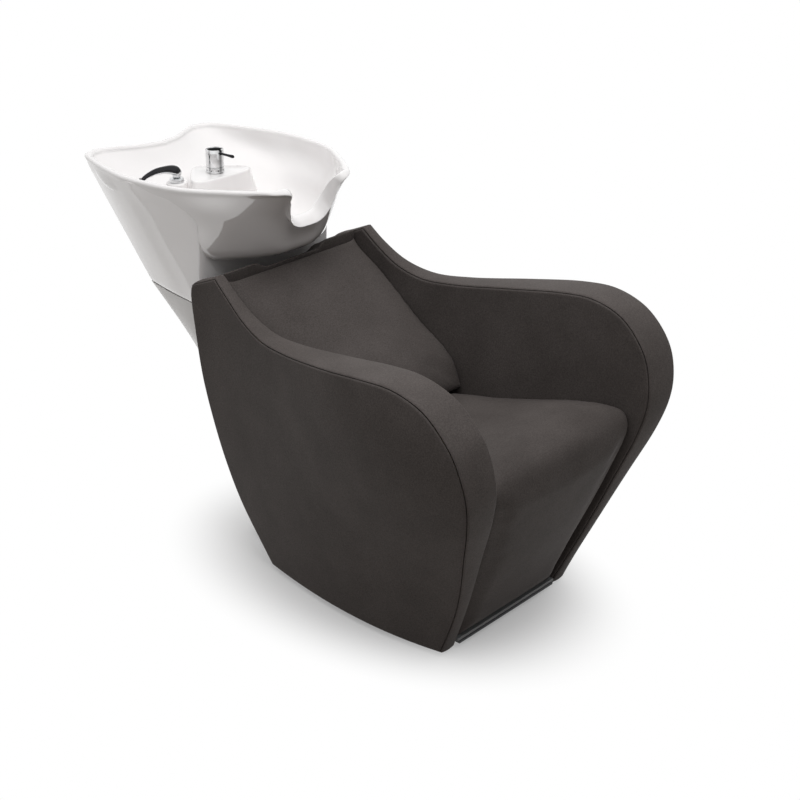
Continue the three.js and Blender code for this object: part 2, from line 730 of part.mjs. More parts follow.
const armBoltPlaces = [['front', armBoltFrontY], ['rear', armBoltRearY]];

function drilled(geometry, side) {
  const bores = armBoltPlaces.map(([, y]) => {
    const seat = innerX(y, armBoltZ) - sideGap - boardThick;
    const reach = armBoltReach + contactGap;
    return rod(boltRadius + runningGap, seat - overrun, seat + reach, 8)
      .rotateY((side * Math.PI) / 2)
      .translate(0, y, armBoltZ);
  });
  return cutFrom(geometry, ...bores);
}

sides.forEach(([name, side]) => {
  addPiece(`${name}_arm_core`, drilled(armCore(side), side), 'plywood');
  addPiece(`${name}_arm_outer_pad`, armOuterPad(side), 'leatherette');
  addPiece(`${name}_arm_inner_pad`, drilled(armInnerPad(side), side), 'leatherette');
  addPiece(`${name}_arm_band`, armBand(side), 'leatheretteBand');
});

// Seat and back: a pad on a board each, between the arms

const halfAtSide = (y, z) => innerX(y, z) - sideGap;
const halfInSides = (y, z) => innerX(y, z) - sideGap - boardThick - contactGap;

// How far a cushion's face is raised: a crown across it that fades at both ends, and rolled sides
function crowned(crown, fade) {
  return (share, along) => {
    const swell = Math.min(1, along / fade, (1 - along) / fade);
    const edge = Math.max(0, Math.abs(share) - padColumnShares.at(-3)) / (1 - padColumnShares.at(-3));
    return crown * swell * (1 - share * share) - padEdgeRoll * edge * edge * mix(endRollShare, 1, swell);
  };
}

const seatRun = seatRunShares.map(armPoint);
const [seatRollStart, seatRollEnd] = seatRollStations;
const seatRoll = { top: seatRun[seatRollStart], front: seatRun[seatRollEnd] };
const seatCorner = [seatRoll.front[0] + seatPadThick, seatRoll.top[1] - seatPadThick];
const seatBackUnder = [seatRun[0][0], seatRun[0][1] - seatPadThick];
const seatFrontUnder = [seatRun.at(-1)[0] + seatPadThick, seatRun.at(-1)[1]];
const seatHidden = seatRun.map((_, i) => {
  if (i <= seatRollStart) return mixPoint(seatBackUnder, seatCorner, i / seatRollStart);
  if (i < seatRollEnd) return seatCorner;
  return mixPoint(seatCorner, seatFrontUnder, (i - seatRollEnd) / (seatRun.length - 1 - seatRollEnd));
});

const backRun = backRunShares.map(armPoint);
const railShares = [[0.912, 0.996], [0.948, 0.968], [0.97, 0.955], [0.974, 0.93], [0.97, 0.88], [0.915, 0.9]];
const railOutline = railShares.map(armPoint);
const backTopUnder = [backRun[0][0] + contactGap, railOutline.at(-1)[1] - contactGap];
const backLowUnder = [backRun.at(-1)[0] + backPadThick, backRun.at(-1)[1] - backPadThick / 4];
const backHidden = backRun.map((_, i) => mixPoint(backTopUnder, backLowUnder, i / (backRun.length - 1)));

function boardUnder(from, to, [startShare, endShare], halfAt) {
  const [start, end] = offsetLine([mixPoint(from, to, startShare), mixPoint(from, to, endShare)], contactGap, false);
  return boardAcross(start, end, -boardThick, halfAt);
}

function topRail() {
  const stations = [-railDipEndHalf, -railDipHalf, railDipHalf, railDipEndHalf];
  const dips = [0, railDip, railDip, 0];
  const endRing = (side) => railOutline.map(([y, z]) => [side * halfAtSide(y, z), y, z]);
  const rings = stations.map((x, i) => railOutline.map(([y, z], k) => [x, y, k < 3 ? z - dips[i] : z]));
  return loft([endRing(-1), ...rings, endRing(1)]);
}

const rearRunShares = [
  [0.969, 0.87], [0.966, 0.793], [0.957, 0.626], [0.933, 0.478], [0.902, 0.34], [0.861, 0.207],
  [0.801, 0.08], [0.775, 0.018],
];
const rearRun = rearRunShares.map(armPoint);

function rearPanel() {
  return padAcross(rearRun, offsetLine(rearRun, -boardThick, false), [-1, 1], halfAtSide, () => 0);
}

const plateTop = plateBottom + plateThick;

function sideBoard(side) {
  const seatLine = offsetLine([seatBackUnder, seatCorner], boardThick + 2 * contactGap, false);
  const frontLine = offsetLine([seatCorner, seatFrontUnder], contactGap, false);
  const low = plateTop + contactGap;
  const outline = [
    [frontLine[1][0], low],
    [rearRun.at(-1)[0] - boardThick - sideGap, low],
    seatLine[0],
    mixPoint(...seatLine, sideBoardShares[0]),
    mixPoint(...frontLine, sideBoardShares[1]),
    frontLine[1],
  ];
  const [across, upward] = sideCentreShares;
  const centre = mixPoint(mixPoint(outline[0], outline[1], across), outline[3], upward);
  const near = (y, z) => halfInSides(y, z) + contactGap;
  return slabOver([outline, near], [outline, halfAtSide], centre, side);
}

function floorPlate() {
  const top = plateStationShares.map((share) => [mix(plateBackY, plateFrontY, share), plateTop]);
  const under = top.map(([y]) => [y, plateBottom]);
  const half = (y, z) => innerX(y, z) - plateEdgeGap;
  const plate = padAcross(top, under, [-1, 0, 1], half, () => 0);
  const bosses = glidePlaces.map(([x, y]) => rod(bossRadius, plateBottom, plateTop + bossHeight, 12).translate(x, y, 0));
  const bores = glidePlaces.map(([x, y]) => (
    rod(stemRadius + runningGap, plateBottom - overrun, plateTop + bossHeight - plateThick, 12).translate(x, y, 0)
  ));
  return cutFrom(joined(plate, ...bosses), ...bores);
}

function glide() {
  const top = plateTop + bossHeight - plateThick - runningGap;
  return turned([
    [0, -glideHeight], [glideRadius, -glideHeight], [glideRadius, glideDiscThick - glideHeight],
    [stemRadius, glideDiscThick - glideHeight], [stemRadius, top], [0, top],
  ], 16);
}

const plinthTop = seatFrontUnder[1] - sideGap;
const plinthRun = [[plinthBackY, plinthTop], [plinthBackY - plinthThick, plinthTop]];
const plinthUnder = plinthRun.map(([y]) => [y, plateTop + contactGap]);

addPiece('seat_cushion', padAcross(seatRun, seatHidden, padColumnShares, halfAtSide, crowned(seatCrown, seatFadeShare)), 'leatherette');
addPiece('seat_board', boardUnder(seatBackUnder, seatCorner, seatBoardShares, halfAtSide), 'plywood');
addPiece('front_board', boardUnder(seatCorner, seatFrontUnder, frontBoardShares, halfInSides), 'plywood');
addPiece('back_cushion', padAcross(backRun, backHidden, padColumnShares, halfAtSide, crowned(backCrown, backFadeShare)), 'leatherette');
addPiece('back_board', boardUnder(backTopUnder, backLowUnder, backBoardShares, halfAtSide), 'plywood');
addPiece('top_rail', topRail(), 'leatherette');
addPiece('rear_panel', rearPanel(), 'leatherette');
sides.forEach(([name, side]) => {
  addPiece(`${name}_side_board`, drilled(sideBoard(side), side), 'plywood');
  armBoltPlaces.forEach(([end, y]) => addPiece(`${name}_${end}_arm_bolt`, armBolt(side, y), 'zincSteel'));
});
addPiece('plinth_strip', padAcross(plinthRun, plinthUnder, [-1, 1], halfAtSide, () => 0), 'greyPlastic');
addPiece('floor_plate', floorPlate(), 'paintedSteel');
glidePlaces.forEach(([x, y, name]) => addPiece(`${name}_glide`, glide().translate(x, y, 0), 'blackPlastic'));

// Column: a steel post inside a sliding cover

const atDrain = (geometry) => geometry.translate(0, drainY, 0);
const atMixer = (geometry) => geometry.translate(0, mixerY, 0);
const atShower = (geometry) => geometry.translate(showerX, showerY, 0);
const cheekInner = cheekHalf - cheekThick;
const flangeBottom = plateTop + contactGap;
const flangeTop = flangeBottom + cheekThick;
const columnBoltPlaces = sides.map(([name, side]) => [side * columnBoltX, columnBoltY, name]);

function columnPost() {
  const cheekOutline = cheekShares.map(columnPoint);
  const shelfBottom = shelfTop - cheekThick;
  const solid = joined(
    prismAcross(cheekOutline, cheekInner, cheekHalf),
    prismAcross(cheekOutline, -cheekHalf, -cheekInner),
    box([-cheekHalf, flangeFrontY, flangeBottom], [cheekHalf, flangeBackY, flangeTop]),
    box([-cheekHalf, crossPlateY, crossPlateBottom], [cheekHalf, crossPlateY + cheekThick, crossPlateTop]),
    box([-cheekHalf, shelfFrontY, shelfBottom], [cheekHalf, shelfBackY, shelfTop]),
  );
  const glideHoles = glidePlaces.map(([x, y]) => (
    rod(bossRadius + runningGap, flangeBottom - overrun, flangeTop + overrun, 12).translate(x, y, 0)
  ));
  const boltHoles = columnBoltPlaces.map(([x, y]) => (
    rod(boltRadius + runningGap, flangeBottom - overrun, flangeTop + overrun, 10).translate(x, y, 0)
  ));
  const valveHoles = sides.map(([, side]) => (
    rod(valveRadius + runningGap, shelfBottom - overrun, shelfTop + overrun, 12)
      .translate(side * valveX, valveY, 0)
  ));
  return cutFrom(
    solid,
    ...glideHoles,
    ...boltHoles,
    ...valveHoles,
    atDrain(rod(socketRadius + runningGap, shelfBottom - overrun, shelfTop + overrun, 18)),
    rodAlongX(pinRadius + runningGap, -pinHalf, pinHalf, pivotY, pivotZ, 16),
  );
}

function lowerCover() {
  const top = skirtBottom - seamGap;
  const traced = skirtBottomShares.slice(coverFirstShare);
  const [firstHalf, firstDepth] = traced[0];
  const deepest = Math.max(...traced.map(([, depth]) => depth));
  const rings = coverShares.map(([height, front, back, half]) => {
    const side = traced.map(([x, y]) => basinPoint([
      (x / firstHalf) * half,
      mix(front, back, (y - firstDepth) / (deepest - firstDepth)),
    ]));
    const far = side.slice(0, -1).reverse().map(([x, y]) => [-x, y]);
    const outer = [...side, ...far];
    const inner = offsetLine(outer, coverWall, false).reverse();
    return [...outer, ...inner].map(([x, y]) => [x, y, height * top]);
  });
  return loft(rings);
}

function wasteSocket() {
  const inner = socketRadius - socketWall;
  const outlet = wasteRadius - socketWall;
  return atDrain(turned([
    [inner, socketTop], [socketRadius, socketTop], [socketRadius, shelfTop + socketWall],
    [socketFlange, shelfTop + socketWall], [socketFlange, shelfTop + contactGap],
    [socketRadius, shelfTop + contactGap], [socketRadius, shelfTop - cheekThick],
    [outlet, shelfTop - cheekThick - wasteRadius], [outlet, socketBottom],
    [outlet - socketWall, socketBottom], [outlet - socketWall, shelfTop - wasteRadius],
    [inner, shelfTop], [inner, socketTop],
  ], 18));
}

function valve(side) {
  const nutBottom = shelfTop + contactGap;
  return turned([
    [0, valveBottom], [valveRadius, valveBottom], [valveRadius, nutBottom], [valveNutRadius, nutBottom],
    [valveNutRadius, nutBottom + valveNutHeight], [valveRadius, nutBottom + valveNutHeight],
    [valveRadius, valveTop], [0, valveTop],
  ], 12).translate(side * valveX, valveY, 0);
}

function rest(side) {
  const middle = side * (cheekHalf - cheekThick / 2);
  const block = box(
    [middle - restWidth / 2, restY - restLength / 2, restBottom],
    [middle + restWidth / 2, restY + restLength / 2, restTop],
  );
  const slot = box(
    [middle - cheekThick / 2 - contactGap, restY - overrun, restBottom - overrun],
    [middle + cheekThick / 2 + contactGap, restY + overrun, restSeat + contactGap],
  );
  return cutFrom(block, slot);
}

function tiltPin() {
  const collar = cheekHalf + runningGap;
  return turned([
    [0, -pinHalf], [pinHeadRadius, -pinHalf], [pinHeadRadius, -collar], [pinRadius, -collar],
    [pinRadius, collar], [pinHeadRadius, collar], [pinHeadRadius, pinHalf], [0, pinHalf],
  ], 16).rotateY(Math.PI / 2).translate(0, pivotY, pivotZ);
}

function columnBolt() {
  const head = flangeTop + contactGap;
  return turned([
    [0, plateTop + contactGap], [boltRadius, plateTop + contactGap], [boltRadius, head],
    [boltHeadRadius, head], [boltHeadRadius, head + boltHeadHeight], [0, head + boltHeadHeight],
  ], 6);
}

const fixedHose = (shares, radius, steps, side) => bar(shares.map((share) => unitPoint(share, side)), [radius], 10, steps);

addPiece('column_post', columnPost(), 'paintedSteel');
addPiece('lower_cover', lowerCover(), 'coverWhite');
addPiece('waste_socket', wasteSocket(), 'greyPlastic');
addPiece('waste_hose', fixedHose(wasteShares, wasteRadius, 10), 'greyPlastic');
addPiece('tilt_pin', tiltPin(), 'zincSteel');
columnBoltPlaces.forEach(([x, y, name]) => addPiece(`${name}_column_bolt`, columnBolt().translate(x, y, 0), 'zincSteel'));
sides.forEach(([name, side]) => addPiece(`${name}_rest`, rest(side), 'rubber'));
[['hot', 1], ['cold', -1]].forEach(([name, side]) => {
  addPiece(`${name}_valve`, valve(side), 'brass');
  addPiece(`${name}_supply`, fixedHose(supplyShares, hoseRadius, 12, side), 'zincSteel');
  addPiece(`${name}_hose`, fixedHose(feedShares, hoseRadius, 8, side), 'zincSteel');
});

// Basin

function fullRing(half, z) {
  const far = half.slice(1, -1).reverse().map(([x, y]) => [-x, y]);
  return [...half, ...far].map(([x, y]) => [x, y, z]);
}

function evenHalf(shares) {
  const through = shares.map(basinPoint).map(([x, y]) => new THREE.Vector3(x, y, 0));
  const curve = new THREE.CatmullRomCurve3(through, false, 'centripetal');
  return curve.getSpacedPoints(bowlStations).map((point) => [point.x, point.y]);
}

// Half an outline moved along lines from the middle of the bowl
function movedOut(half, distance) {
  return half.map(([x, y]) => {
    const out = new THREE.Vector2(x, y - bowlCentreY);
    out.setLength(out.length() + distance);
    return [out.x, out.y + bowlCentreY];
  });
}

const rimRing = (distance, z) => fullRing(movedOut(evenHalf(rimShares), distance), z);

function bowlOuter() {
  const depth = rimHeight - bowlBottomOut;
  const rings = bowlOutShares.map(({ down, outline }) => fullRing(evenHalf(outline), rimHeight - down * depth));
  const top = [0, bowlCentreY, rimHeight];
  const lip = [
    rimRing(-contactGap, rimHeight),
    rimRing(lipSwell / 2, rimHeight - lipDrop / 4),
    rimRing(lipSwell, rimHeight - lipDrop),
    rimRing(lipSwell - lipTuck, rimHeight - 2 * lipDrop),
  ];
  return loft([...lip, ...rings], { endPoints: [top, [0, drainY, bowlBottomOut]] });
}

function bowlCavity() {
  const floor = bowlBottomOut + bowlFloorThick;
  const rings = bowlInShares.map(({ down, outline }) => (
    fullRing(evenHalf(outline), rimHeight - down * (rimHeight - floor))
  ));
  return loft(
    [
      rimRing(-lipSwell / 2, rimHeight + lipDrop),
      rimRing(-lipSwell / 2, rimHeight),
      rimRing(-lipSwell, rimHeight - lipDrop),
      ...rings,
    ],
    { endPoints: [[0, bowlCentreY, rimHeight + lipDrop], [0, drainY, floor]] },
  );
}

function skirt() {
  const top = rimHeight - lipSwell - lipTuck / 2;
  const section = (shares, z, distance) => fullRing(movedOut(shares.map(basinPoint), distance), z);
  const corners = [
    section(skirtTopShares, top, -lipTuck),
    section(skirtBottomShares, skirtBottom, 0),
    section(skirtBottomShares, skirtBottom, -skirtWall),
    section(skirtTopShares, top, -skirtWall),
  ];
  return closedLoop(corners[0].map((_, i) => corners.map((corner) => corner[i])));
}

function platformSection(scale, z) {
  const half = platformShares.map(basinPoint).map(([x, y]) => [scale * x, mix(platformCentreY, y, scale)]);
  return fullRing(half, z);
}

function notchCutter() {
  const open = [notchShares[0][0] * notchHalf, rimHeight + overrun];
  const half = [open, ...notchShares.map(([x, down]) => [x * notchHalf, rimHeight - down * notchDepth])];
  const far = half.slice(0, -1).reverse().map(([x, z]) => [-x, z]);
  return prismAlong([...half, ...far], basinFrontY - overrun, basinFrontY + notchCutDepth);
}

function notchRoll() {
  const lipZ = rimHeight - notchLip - runningGap;
  const half = [
    [notchHalf + notchTurn, basinFrontY + notchLip + notchTurn / 4, lipZ],
    [notchHalf + lipSwell, basinFrontY + notchLip, lipZ],
    ...notchShares.map(([x, down]) => [
      x * notchHalf, basinFrontY + notchLip / 2 + notchLean * down ** 0.8, rimHeight - down * notchDepth,
    ]),
  ];
  const far = half.slice(0, -1).reverse().map(([x, y, z]) => [-x, y, z]);
  return bar([...half, ...far], [notchLip], 8, 26);
}

function basin() {
  const platform = loft([platformSection(1, mixerDeck), platformSection(platformSpread, platformBase)]);
  const boss = atShower(turned([
    [0, showerDeck - showerBossDepth], [showerBossBottom, showerDeck - showerBossDepth],
    [showerBossTop, showerDeck], [0, showerDeck],
  ], 24));
  const hollow = loft([
    platformSection(platformHollow, mixerDeck - platformThick),
    platformSection(platformHollow * platformSpread, platformBase),
    platformSection(platformHollow * platformSpread, platformBase - overrun),
  ]);
  const shell = cutFrom(joined(bowlOuter(), skirt()), cutFrom(bowlCavity(), platform, boss));
  return cutFrom(
    joined(cutFrom(shell, notchCutter()), notchRoll()),
    hollow,
    atMixer(rod(mixerBore, mixerDeck - platformThick - overrun, mixerDeck + overrun, 20)),
    atShower(rod(showerBore, showerDeck - showerBossDepth - overrun, showerDeck + overrun, 20)),
    atDrain(rod(drainBore, bowlBottomOut - overrun, drainSeat + overrun, 20)),
    atDrain(rod(drainRadius + runningGap, drainSeat - contactGap, drainSeat + overrun, 20)),
  );
}

function basinBracket() {
  const ear = earShares.map(columnPoint);
  const solid = joined(
    prismAcross(ear, earReach - cheekThick, earReach),
    prismAcross(ear, -earReach, cheekThick - earReach),
    prismAcross(earBarShares.map(columnPoint), -earReach, earReach),
  );
  return cutFrom(solid, rodAlongX(pinRadius + runningGap, -pinHalf, pinHalf, pivotY, pivotZ, 16));
}

const flangeTopZ = drainSeat + flangeThick;
const strainerSeat = drainSeat + flangeThick / 2;

function drainFlange() {
  const bore = strainerRadius - socketWall;
  return atDrain(turned([
    [bore, drainSeat], [drainRadius, drainSeat], [drainRadius, flangeTopZ - contactGap],
    [drainRadius - flangeThick, flangeTopZ], [strainerRadius + runningGap, flangeTopZ],
    [strainerRadius + runningGap, strainerSeat], [bore, strainerSeat], [bore, drainSeat],
  ], 20));
}

function hairStrainer() {
  const bottom = strainerSeat + contactGap;
  const plate = bottom + flangeThick / 2;
  const disc = turned([
    [0, bottom], [strainerRadius, bottom], [strainerRadius, plate], [knobRadius, plate],
    [knobRadius, bottom + knobHeight], [0, bottom + knobHeight],
  ], 20);
  const holes = [0, 1, 2, 3, 4, 5].map((i) => (
    rod(strainerHole, bottom - overrun, plate + overrun, 6)
      .translate(strainerRing, 0, 0)
      .rotateZ((i * Math.PI) / 3)
  ));
  return atDrain(cutFrom(disc, ...holes));
}

function drainTailpiece() {
  const top = drainSeat - contactGap;
  const shoulderTop = bowlBottomOut - runningGap;
  const bore = tailRadius - flangeThick;
  return atDrain(turned([
    [bore, tailBottom], [tailRadius, tailBottom], [tailRadius, tailShoulder],
    [tailShoulderRadius, tailShoulder], [tailShoulderRadius, shoulderTop], [tailRadius, shoulderTop],
    [tailRadius, top], [bore, top], [bore, tailBottom],
  ], 20));
}

const headBottom = mixerDeck + contactGap + collarHeight + contactGap;
const headTop = mixerDeck + mixerHeight;

function mixerBase() {
  const seat = mixerDeck + contactGap;
  return atMixer(turned([
    [0, spindleBottom], [spindleRadius, spindleBottom], [spindleRadius, seat], [mixerRadius, seat],
    [mixerRadius, seat + collarHeight], [0, seat + collarHeight],
  ], 24));
}

function mixerHead() {
  const floor = headTop - capRecess;
  const cup = atMixer(turned([
    [0, headBottom], [mixerRadius, headBottom], [mixerRadius, headTop - contactGap],
    [mixerRadius - contactGap, headTop], [capRadius + contactGap, headTop],
    [capRadius + contactGap, floor], [0, floor],
  ], 24));
  const slot = box(
    [-slotHalf, mixerY - mixerRadius - overrun, leverZ - slotDrop],
    [slotHalf, mixerY - capRadius / 2, headTop + overrun],
  );
  return cutFrom(cup, slot);
}

function mixerLever() {
  const ball = new THREE.SphereGeometry(leverBall, 12, 8).translate(0, mixerY, leverZ);
  const pin = rod(leverRadius, 0, leverReach, 10).rotateX(Math.PI / 2).translate(0, mixerY, leverZ);
  return joined(ball, pin);
}

function nutRing() {
  const top = mixerDeck - platformThick - contactGap;
  return atMixer(ring(spindleRadius + contactGap, nutRadius, top - nutHeight, top, 24));
}

function showerSocket() {
  const seat = showerDeck + contactGap;
  const sleeve = showerBore - runningGap;
  const bore = sleeve - sleeveWall;
  return atShower(turned([
    [bore, seat - sleeveDepth], [sleeve, seat - sleeveDepth], [sleeve, seat], [socketCollarRadius, seat],
    [socketCollarRadius, seat + socketCollarHeight], [bore, seat + socketCollarHeight],
    [bore, seat - sleeveDepth],
  ], 20));
}

const handlePath = handleShares.map((share) => unitPoint(share));
const stubTop = showerDeck + socketCollarHeight + 2 * contactGap;

function handShower() {
  const stubGap = stubTop + contactGap;
  const cone = atShower(turned([
    [0, stubGap], [coneRadius, stubGap], [ballRadius - contactGap, ballZ - ballRadius / 2], [0, ballZ],
  ], 24));
  const ball = atShower(new THREE.SphereGeometry(ballRadius, 16, 8).rotateX(Math.PI / 2).translate(0, 0, ballZ));
  const handle = bar(handlePath, [handleRadius, handleRadius, handleEndRadius], 10, 8);
  return joined(cone, ball, handle);
}

function sprayPlate() {
  const [tip, before] = [handlePath.at(-1), handlePath.at(-2)].map((point) => new THREE.Vector3(...point));
  const onward = tip.clone().sub(before).normalize();
  const [start, end] = [contactGap, contactGap + sprayThick].map((reach) => (
    tip.clone().addScaledVector(onward, reach).toArray()
  ));
  return bar([start, end], [sprayRadius], 12, 1);
}

addPiece('basin', basin(), 'ceramic');
addPiece('basin_bracket', basinBracket(), 'paintedSteel');
addPiece('drain_flange', drainFlange(), 'chrome');
addPiece('hair_strainer', hairStrainer(), 'chrome');
addPiece('drain_tailpiece', drainTailpiece(), 'chrome');
addPiece('mixer_base', mixerBase(), 'chrome');
addPiece('mixer_head', mixerHead(), 'chrome');
addPiece('mixer_cap', atMixer(rod(capRadius, headTop - capRecess + contactGap, headTop - capRecess + capThick, 20)), 'blackPlastic');
addPiece('mixer_lever', mixerLever(), 'chrome');
addPiece('mixer_nut', nutRing(), 'brass');
addPiece('shower_socket', showerSocket(), 'chrome');
addPiece('hand_shower', handShower(), 'darkChrome');
addPiece('spray_plate', sprayPlate(), 'blackPlastic');
addPiece('shower_hose_stub', atShower(rod(hoseRadius, stubBottom, stubTop, 12)), 'zincSteel');
addPiece('shower_hose', fixedHose(loopShares, hoseRadius, 20), 'zincSteel');

const bounds = new THREE.Box3().setFromObject(unit);
unit.position.y = -(bounds.min.y + bounds.max.y) / 2;

export default unit;
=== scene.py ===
import bpy
import bmesh
import json
import math
import numpy as np
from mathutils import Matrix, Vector


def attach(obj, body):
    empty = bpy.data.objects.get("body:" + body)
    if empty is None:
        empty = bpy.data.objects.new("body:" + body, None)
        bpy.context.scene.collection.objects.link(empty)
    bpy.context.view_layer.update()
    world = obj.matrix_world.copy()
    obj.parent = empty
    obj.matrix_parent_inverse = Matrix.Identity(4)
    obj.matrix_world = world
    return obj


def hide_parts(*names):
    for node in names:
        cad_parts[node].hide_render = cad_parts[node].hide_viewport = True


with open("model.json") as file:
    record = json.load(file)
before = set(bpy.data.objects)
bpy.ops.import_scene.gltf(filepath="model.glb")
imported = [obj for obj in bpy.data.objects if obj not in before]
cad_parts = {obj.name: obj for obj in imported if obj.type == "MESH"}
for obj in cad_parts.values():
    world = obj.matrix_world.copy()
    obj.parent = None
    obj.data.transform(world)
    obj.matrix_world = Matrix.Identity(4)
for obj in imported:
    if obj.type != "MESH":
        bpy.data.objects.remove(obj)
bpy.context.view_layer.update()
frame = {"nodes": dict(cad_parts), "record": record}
nodes = frame["nodes"]
scene = bpy.context.scene
print("loaded", len(nodes), "solids")

# The object's sizes are in millimetres on its own centre lines; this puts them in the frame
unit = {"shiftY": -11.693, "shiftZ": 10, "scale": 0.001}


def place(x, y, z):
    return Vector((x, y + unit["shiftY"], z + unit["shiftZ"])) * unit["scale"]


# Camera, in metres: the photograph's view
cameraSetup = {
    "spot": (-2.450, -2.3587, 1.9144),
    "right": (0.6652, -0.7467, 0.0),
    "up": (0.3064, 0.2730, 0.9119),
    "forward": (0.6809, 0.6066, -0.4104),
    "lens": 72,
    "sensor": 36,
}


def addCamera(c):
    data = bpy.data.cameras.new("photoCamera")
    data.lens = c["lens"]
    data.sensor_width = c["sensor"]
    data.clip_end = 60
    camera = bpy.data.objects.new("photoCamera", data)
    scene.collection.objects.link(camera)
    right, up, back = Vector(c["right"]), Vector(c["up"]), -Vector(c["forward"])
    for row in range(3):
        camera.matrix_world[row][0] = right[row]
        camera.matrix_world[row][1] = up[row]
        camera.matrix_world[row][2] = back[row]
        camera.matrix_world[row][3] = c["spot"][row]
    scene.camera = camera


addCamera(cameraSetup)
print("camera set")


# Small tools

def clearSelection():
    if bpy.context.object and bpy.context.object.mode != "OBJECT":
        bpy.ops.object.mode_set(mode="OBJECT")
    bpy.ops.object.select_all(action="DESELECT")


def pick(piece):
    clearSelection()
    piece.select_set(True)
    bpy.context.view_layer.objects.active = piece


def finishModifiers(piece):
    pick(piece)
    for modifier in list(piece.modifiers):
        bpy.ops.object.modifier_apply(modifier=modifier.name)


def merged(piece, distance, outward=True):
    pick(piece)
    bpy.ops.object.mode_set(mode="EDIT")
    bpy.ops.mesh.select_all(action="SELECT")
    bpy.ops.mesh.remove_doubles(threshold=distance)
    if outward:
        bpy.ops.mesh.normals_make_consistent(inside=False)
    bpy.ops.object.mode_set(mode="OBJECT")


def smoothed(piece, angle=40):
    pick(piece)
    bpy.ops.object.shade_smooth_by_angle(angle=math.radians(angle))


def settle(piece):
    # The place goes into the mesh, as a solid's does
    pick(piece)
    bpy.ops.object.transform_apply(location=True, rotation=True, scale=True)


def copyOf(node, name):
    piece = nodes[node].copy()
    piece.data = nodes[node].data.copy()
    piece.name = name
    piece.data.name = name
    for key in list(piece.keys()):
        del piece[key]
    piece.parent = None
    piece.data.materials.clear()
    scene.collection.objects.link(piece)
    merged(piece, 0.00005, outward=False)
    return piece


def pulled(name, rings, filled=True):
    # A circle is added, its points go to the first ring, and it is extruded from ring to ring.
    # Rings that end where they began close up without filled ends
    clearSelection()
    bpy.ops.mesh.primitive_circle_add(vertices=len(rings[0]), radius=0.1)
    piece = bpy.context.object
    piece.name = name
    piece.data.name = name
    bpy.ops.object.mode_set(mode="EDIT")
    bpy.ops.mesh.select_mode(type="EDGE")
    bpy.ops.mesh.select_all(action="SELECT")
    mesh = bmesh.from_edit_mesh(piece.data)
    station = mesh.verts.layers.int.new("station")
    mesh.verts.ensure_lookup_table()
    for i, vert in enumerate(mesh.verts):
        vert[station] = i
        vert.co = rings[0][i]
    if filled:
        bpy.ops.mesh.edge_face_add()
    for ring in rings[1:]:
        bpy.ops.mesh.extrude_region_move()
        mesh = bmesh.from_edit_mesh(piece.data)
        station = mesh.verts.layers.int.get("station")
        for vert in mesh.verts:
            if vert.select:
                vert.co = ring[vert[station]]
    bmesh.update_edit_mesh(piece.data)
    bpy.ops.mesh.select_mode(type="VERT")
    bpy.ops.object.mode_set(mode="OBJECT")
    if piece.data.attributes.get("station"):
        piece.data.attributes.remove(piece.data.attributes["station"])
    merged(piece, 0.00001)
    return piece


def ringAt(centre, radius, count):
    turns = [2 * math.pi * i / count for i in range(count)]
    return [centre + Vector((math.cos(a), math.sin(a), 0)) * radius for a in turns]


def turnedPiece(name, profile, spot, count=64, filled=True):
    # Radius and height steps on a vertical axis at spot, in millimetres
    rings = [ringAt(place(spot[0], spot[1], z), r * unit["scale"], count) for r, z in profile]
    return pulled(name, rings, filled)


def spacedOut(line, count):
    # The same line with its points at even steps
    p = np.array(line, float)
    length = np.concatenate([[0], np.cumsum(np.linalg.norm(np.diff(p, axis=0), axis=1))])
    marks = np.linspace(0, length[-1], count)
    return np.stack([np.interp(marks, length, p[:, k]) for k in range(p.shape[1])], axis=1)


def unitRows(rows):
    return rows / np.maximum(np.linalg.norm(rows, axis=1, keepdims=True), 1e-9)


def curveThrough(points, count):
    # One smooth curve through points, in any number of dimensions
    p = np.array(points, float)
    p = np.vstack([2 * p[0] - p[1], p, 2 * p[-1] - p[-2]])
    dense = []
    for i in range(1, len(p) - 2):
        p0, p1, p2, p3 = p[i - 1], p[i], p[i + 1], p[i + 2]
        d0, d1, d2 = [max(np.linalg.norm(b - a), 1e-9) ** 0.5 for a, b in ((p0, p1), (p1, p2), (p2, p3))]
        t1 = ((p1 - p0) / d0 - (p2 - p0) / (d0 + d1) + (p2 - p1) / d1) * d1
        t2 = ((p2 - p1) / d1 - (p3 - p1) / (d1 + d2) + (p3 - p2) / d2) * d1
        for s in np.linspace(0, 1, 24, endpoint=False):
            a = 2 * p1 - 2 * p2 + t1 + t2
            b = -3 * p1 + 3 * p2 - 2 * t1 - t2
            dense.append(a * s ** 3 + b * s ** 2 + t1 * s + p1)
    dense.append(p[-2])
    return spacedOut(dense, count)


def offsetLine(points, distance, closed):
    p = np.array(points, float)
    before = np.roll(p, 1, axis=0)
    after = np.roll(p, -1, axis=0)
    if not closed:
        before[0], after[-1] = p[0], p[-1]
    toHere, onward = unitRows(p - before), unitRows(after - p)
    along = unitRows(toHere + onward)
    bend = np.maximum(0.5, np.maximum((along * onward).sum(1), (along * toHere).sum(1)))
    reach = distance / bend
    return np.stack([p[:, 0] - along[:, 1] * reach, p[:, 1] + along[:, 0] * reach], axis=1)


def smoothStep(a):
    a = min(1.0, max(0.0, a))
    return a * a * (3 - 2 * a)


# Materials

def feed(tree, node, inputs):
    # Each input gets its value, or a link where a socket is given
    for name, value in inputs.items():
        if isinstance(value, bpy.types.NodeSocket):
            tree.links.new(value, node.inputs[name])
        else:
            node.inputs[name].default_value = value


def addNode(tree, kind, inputs, **settings):
    node = tree.nodes.new("ShaderNode" + kind)
    for name, value in settings.items():
        setattr(node, name, value)
    feed(tree, node, inputs)
    return node


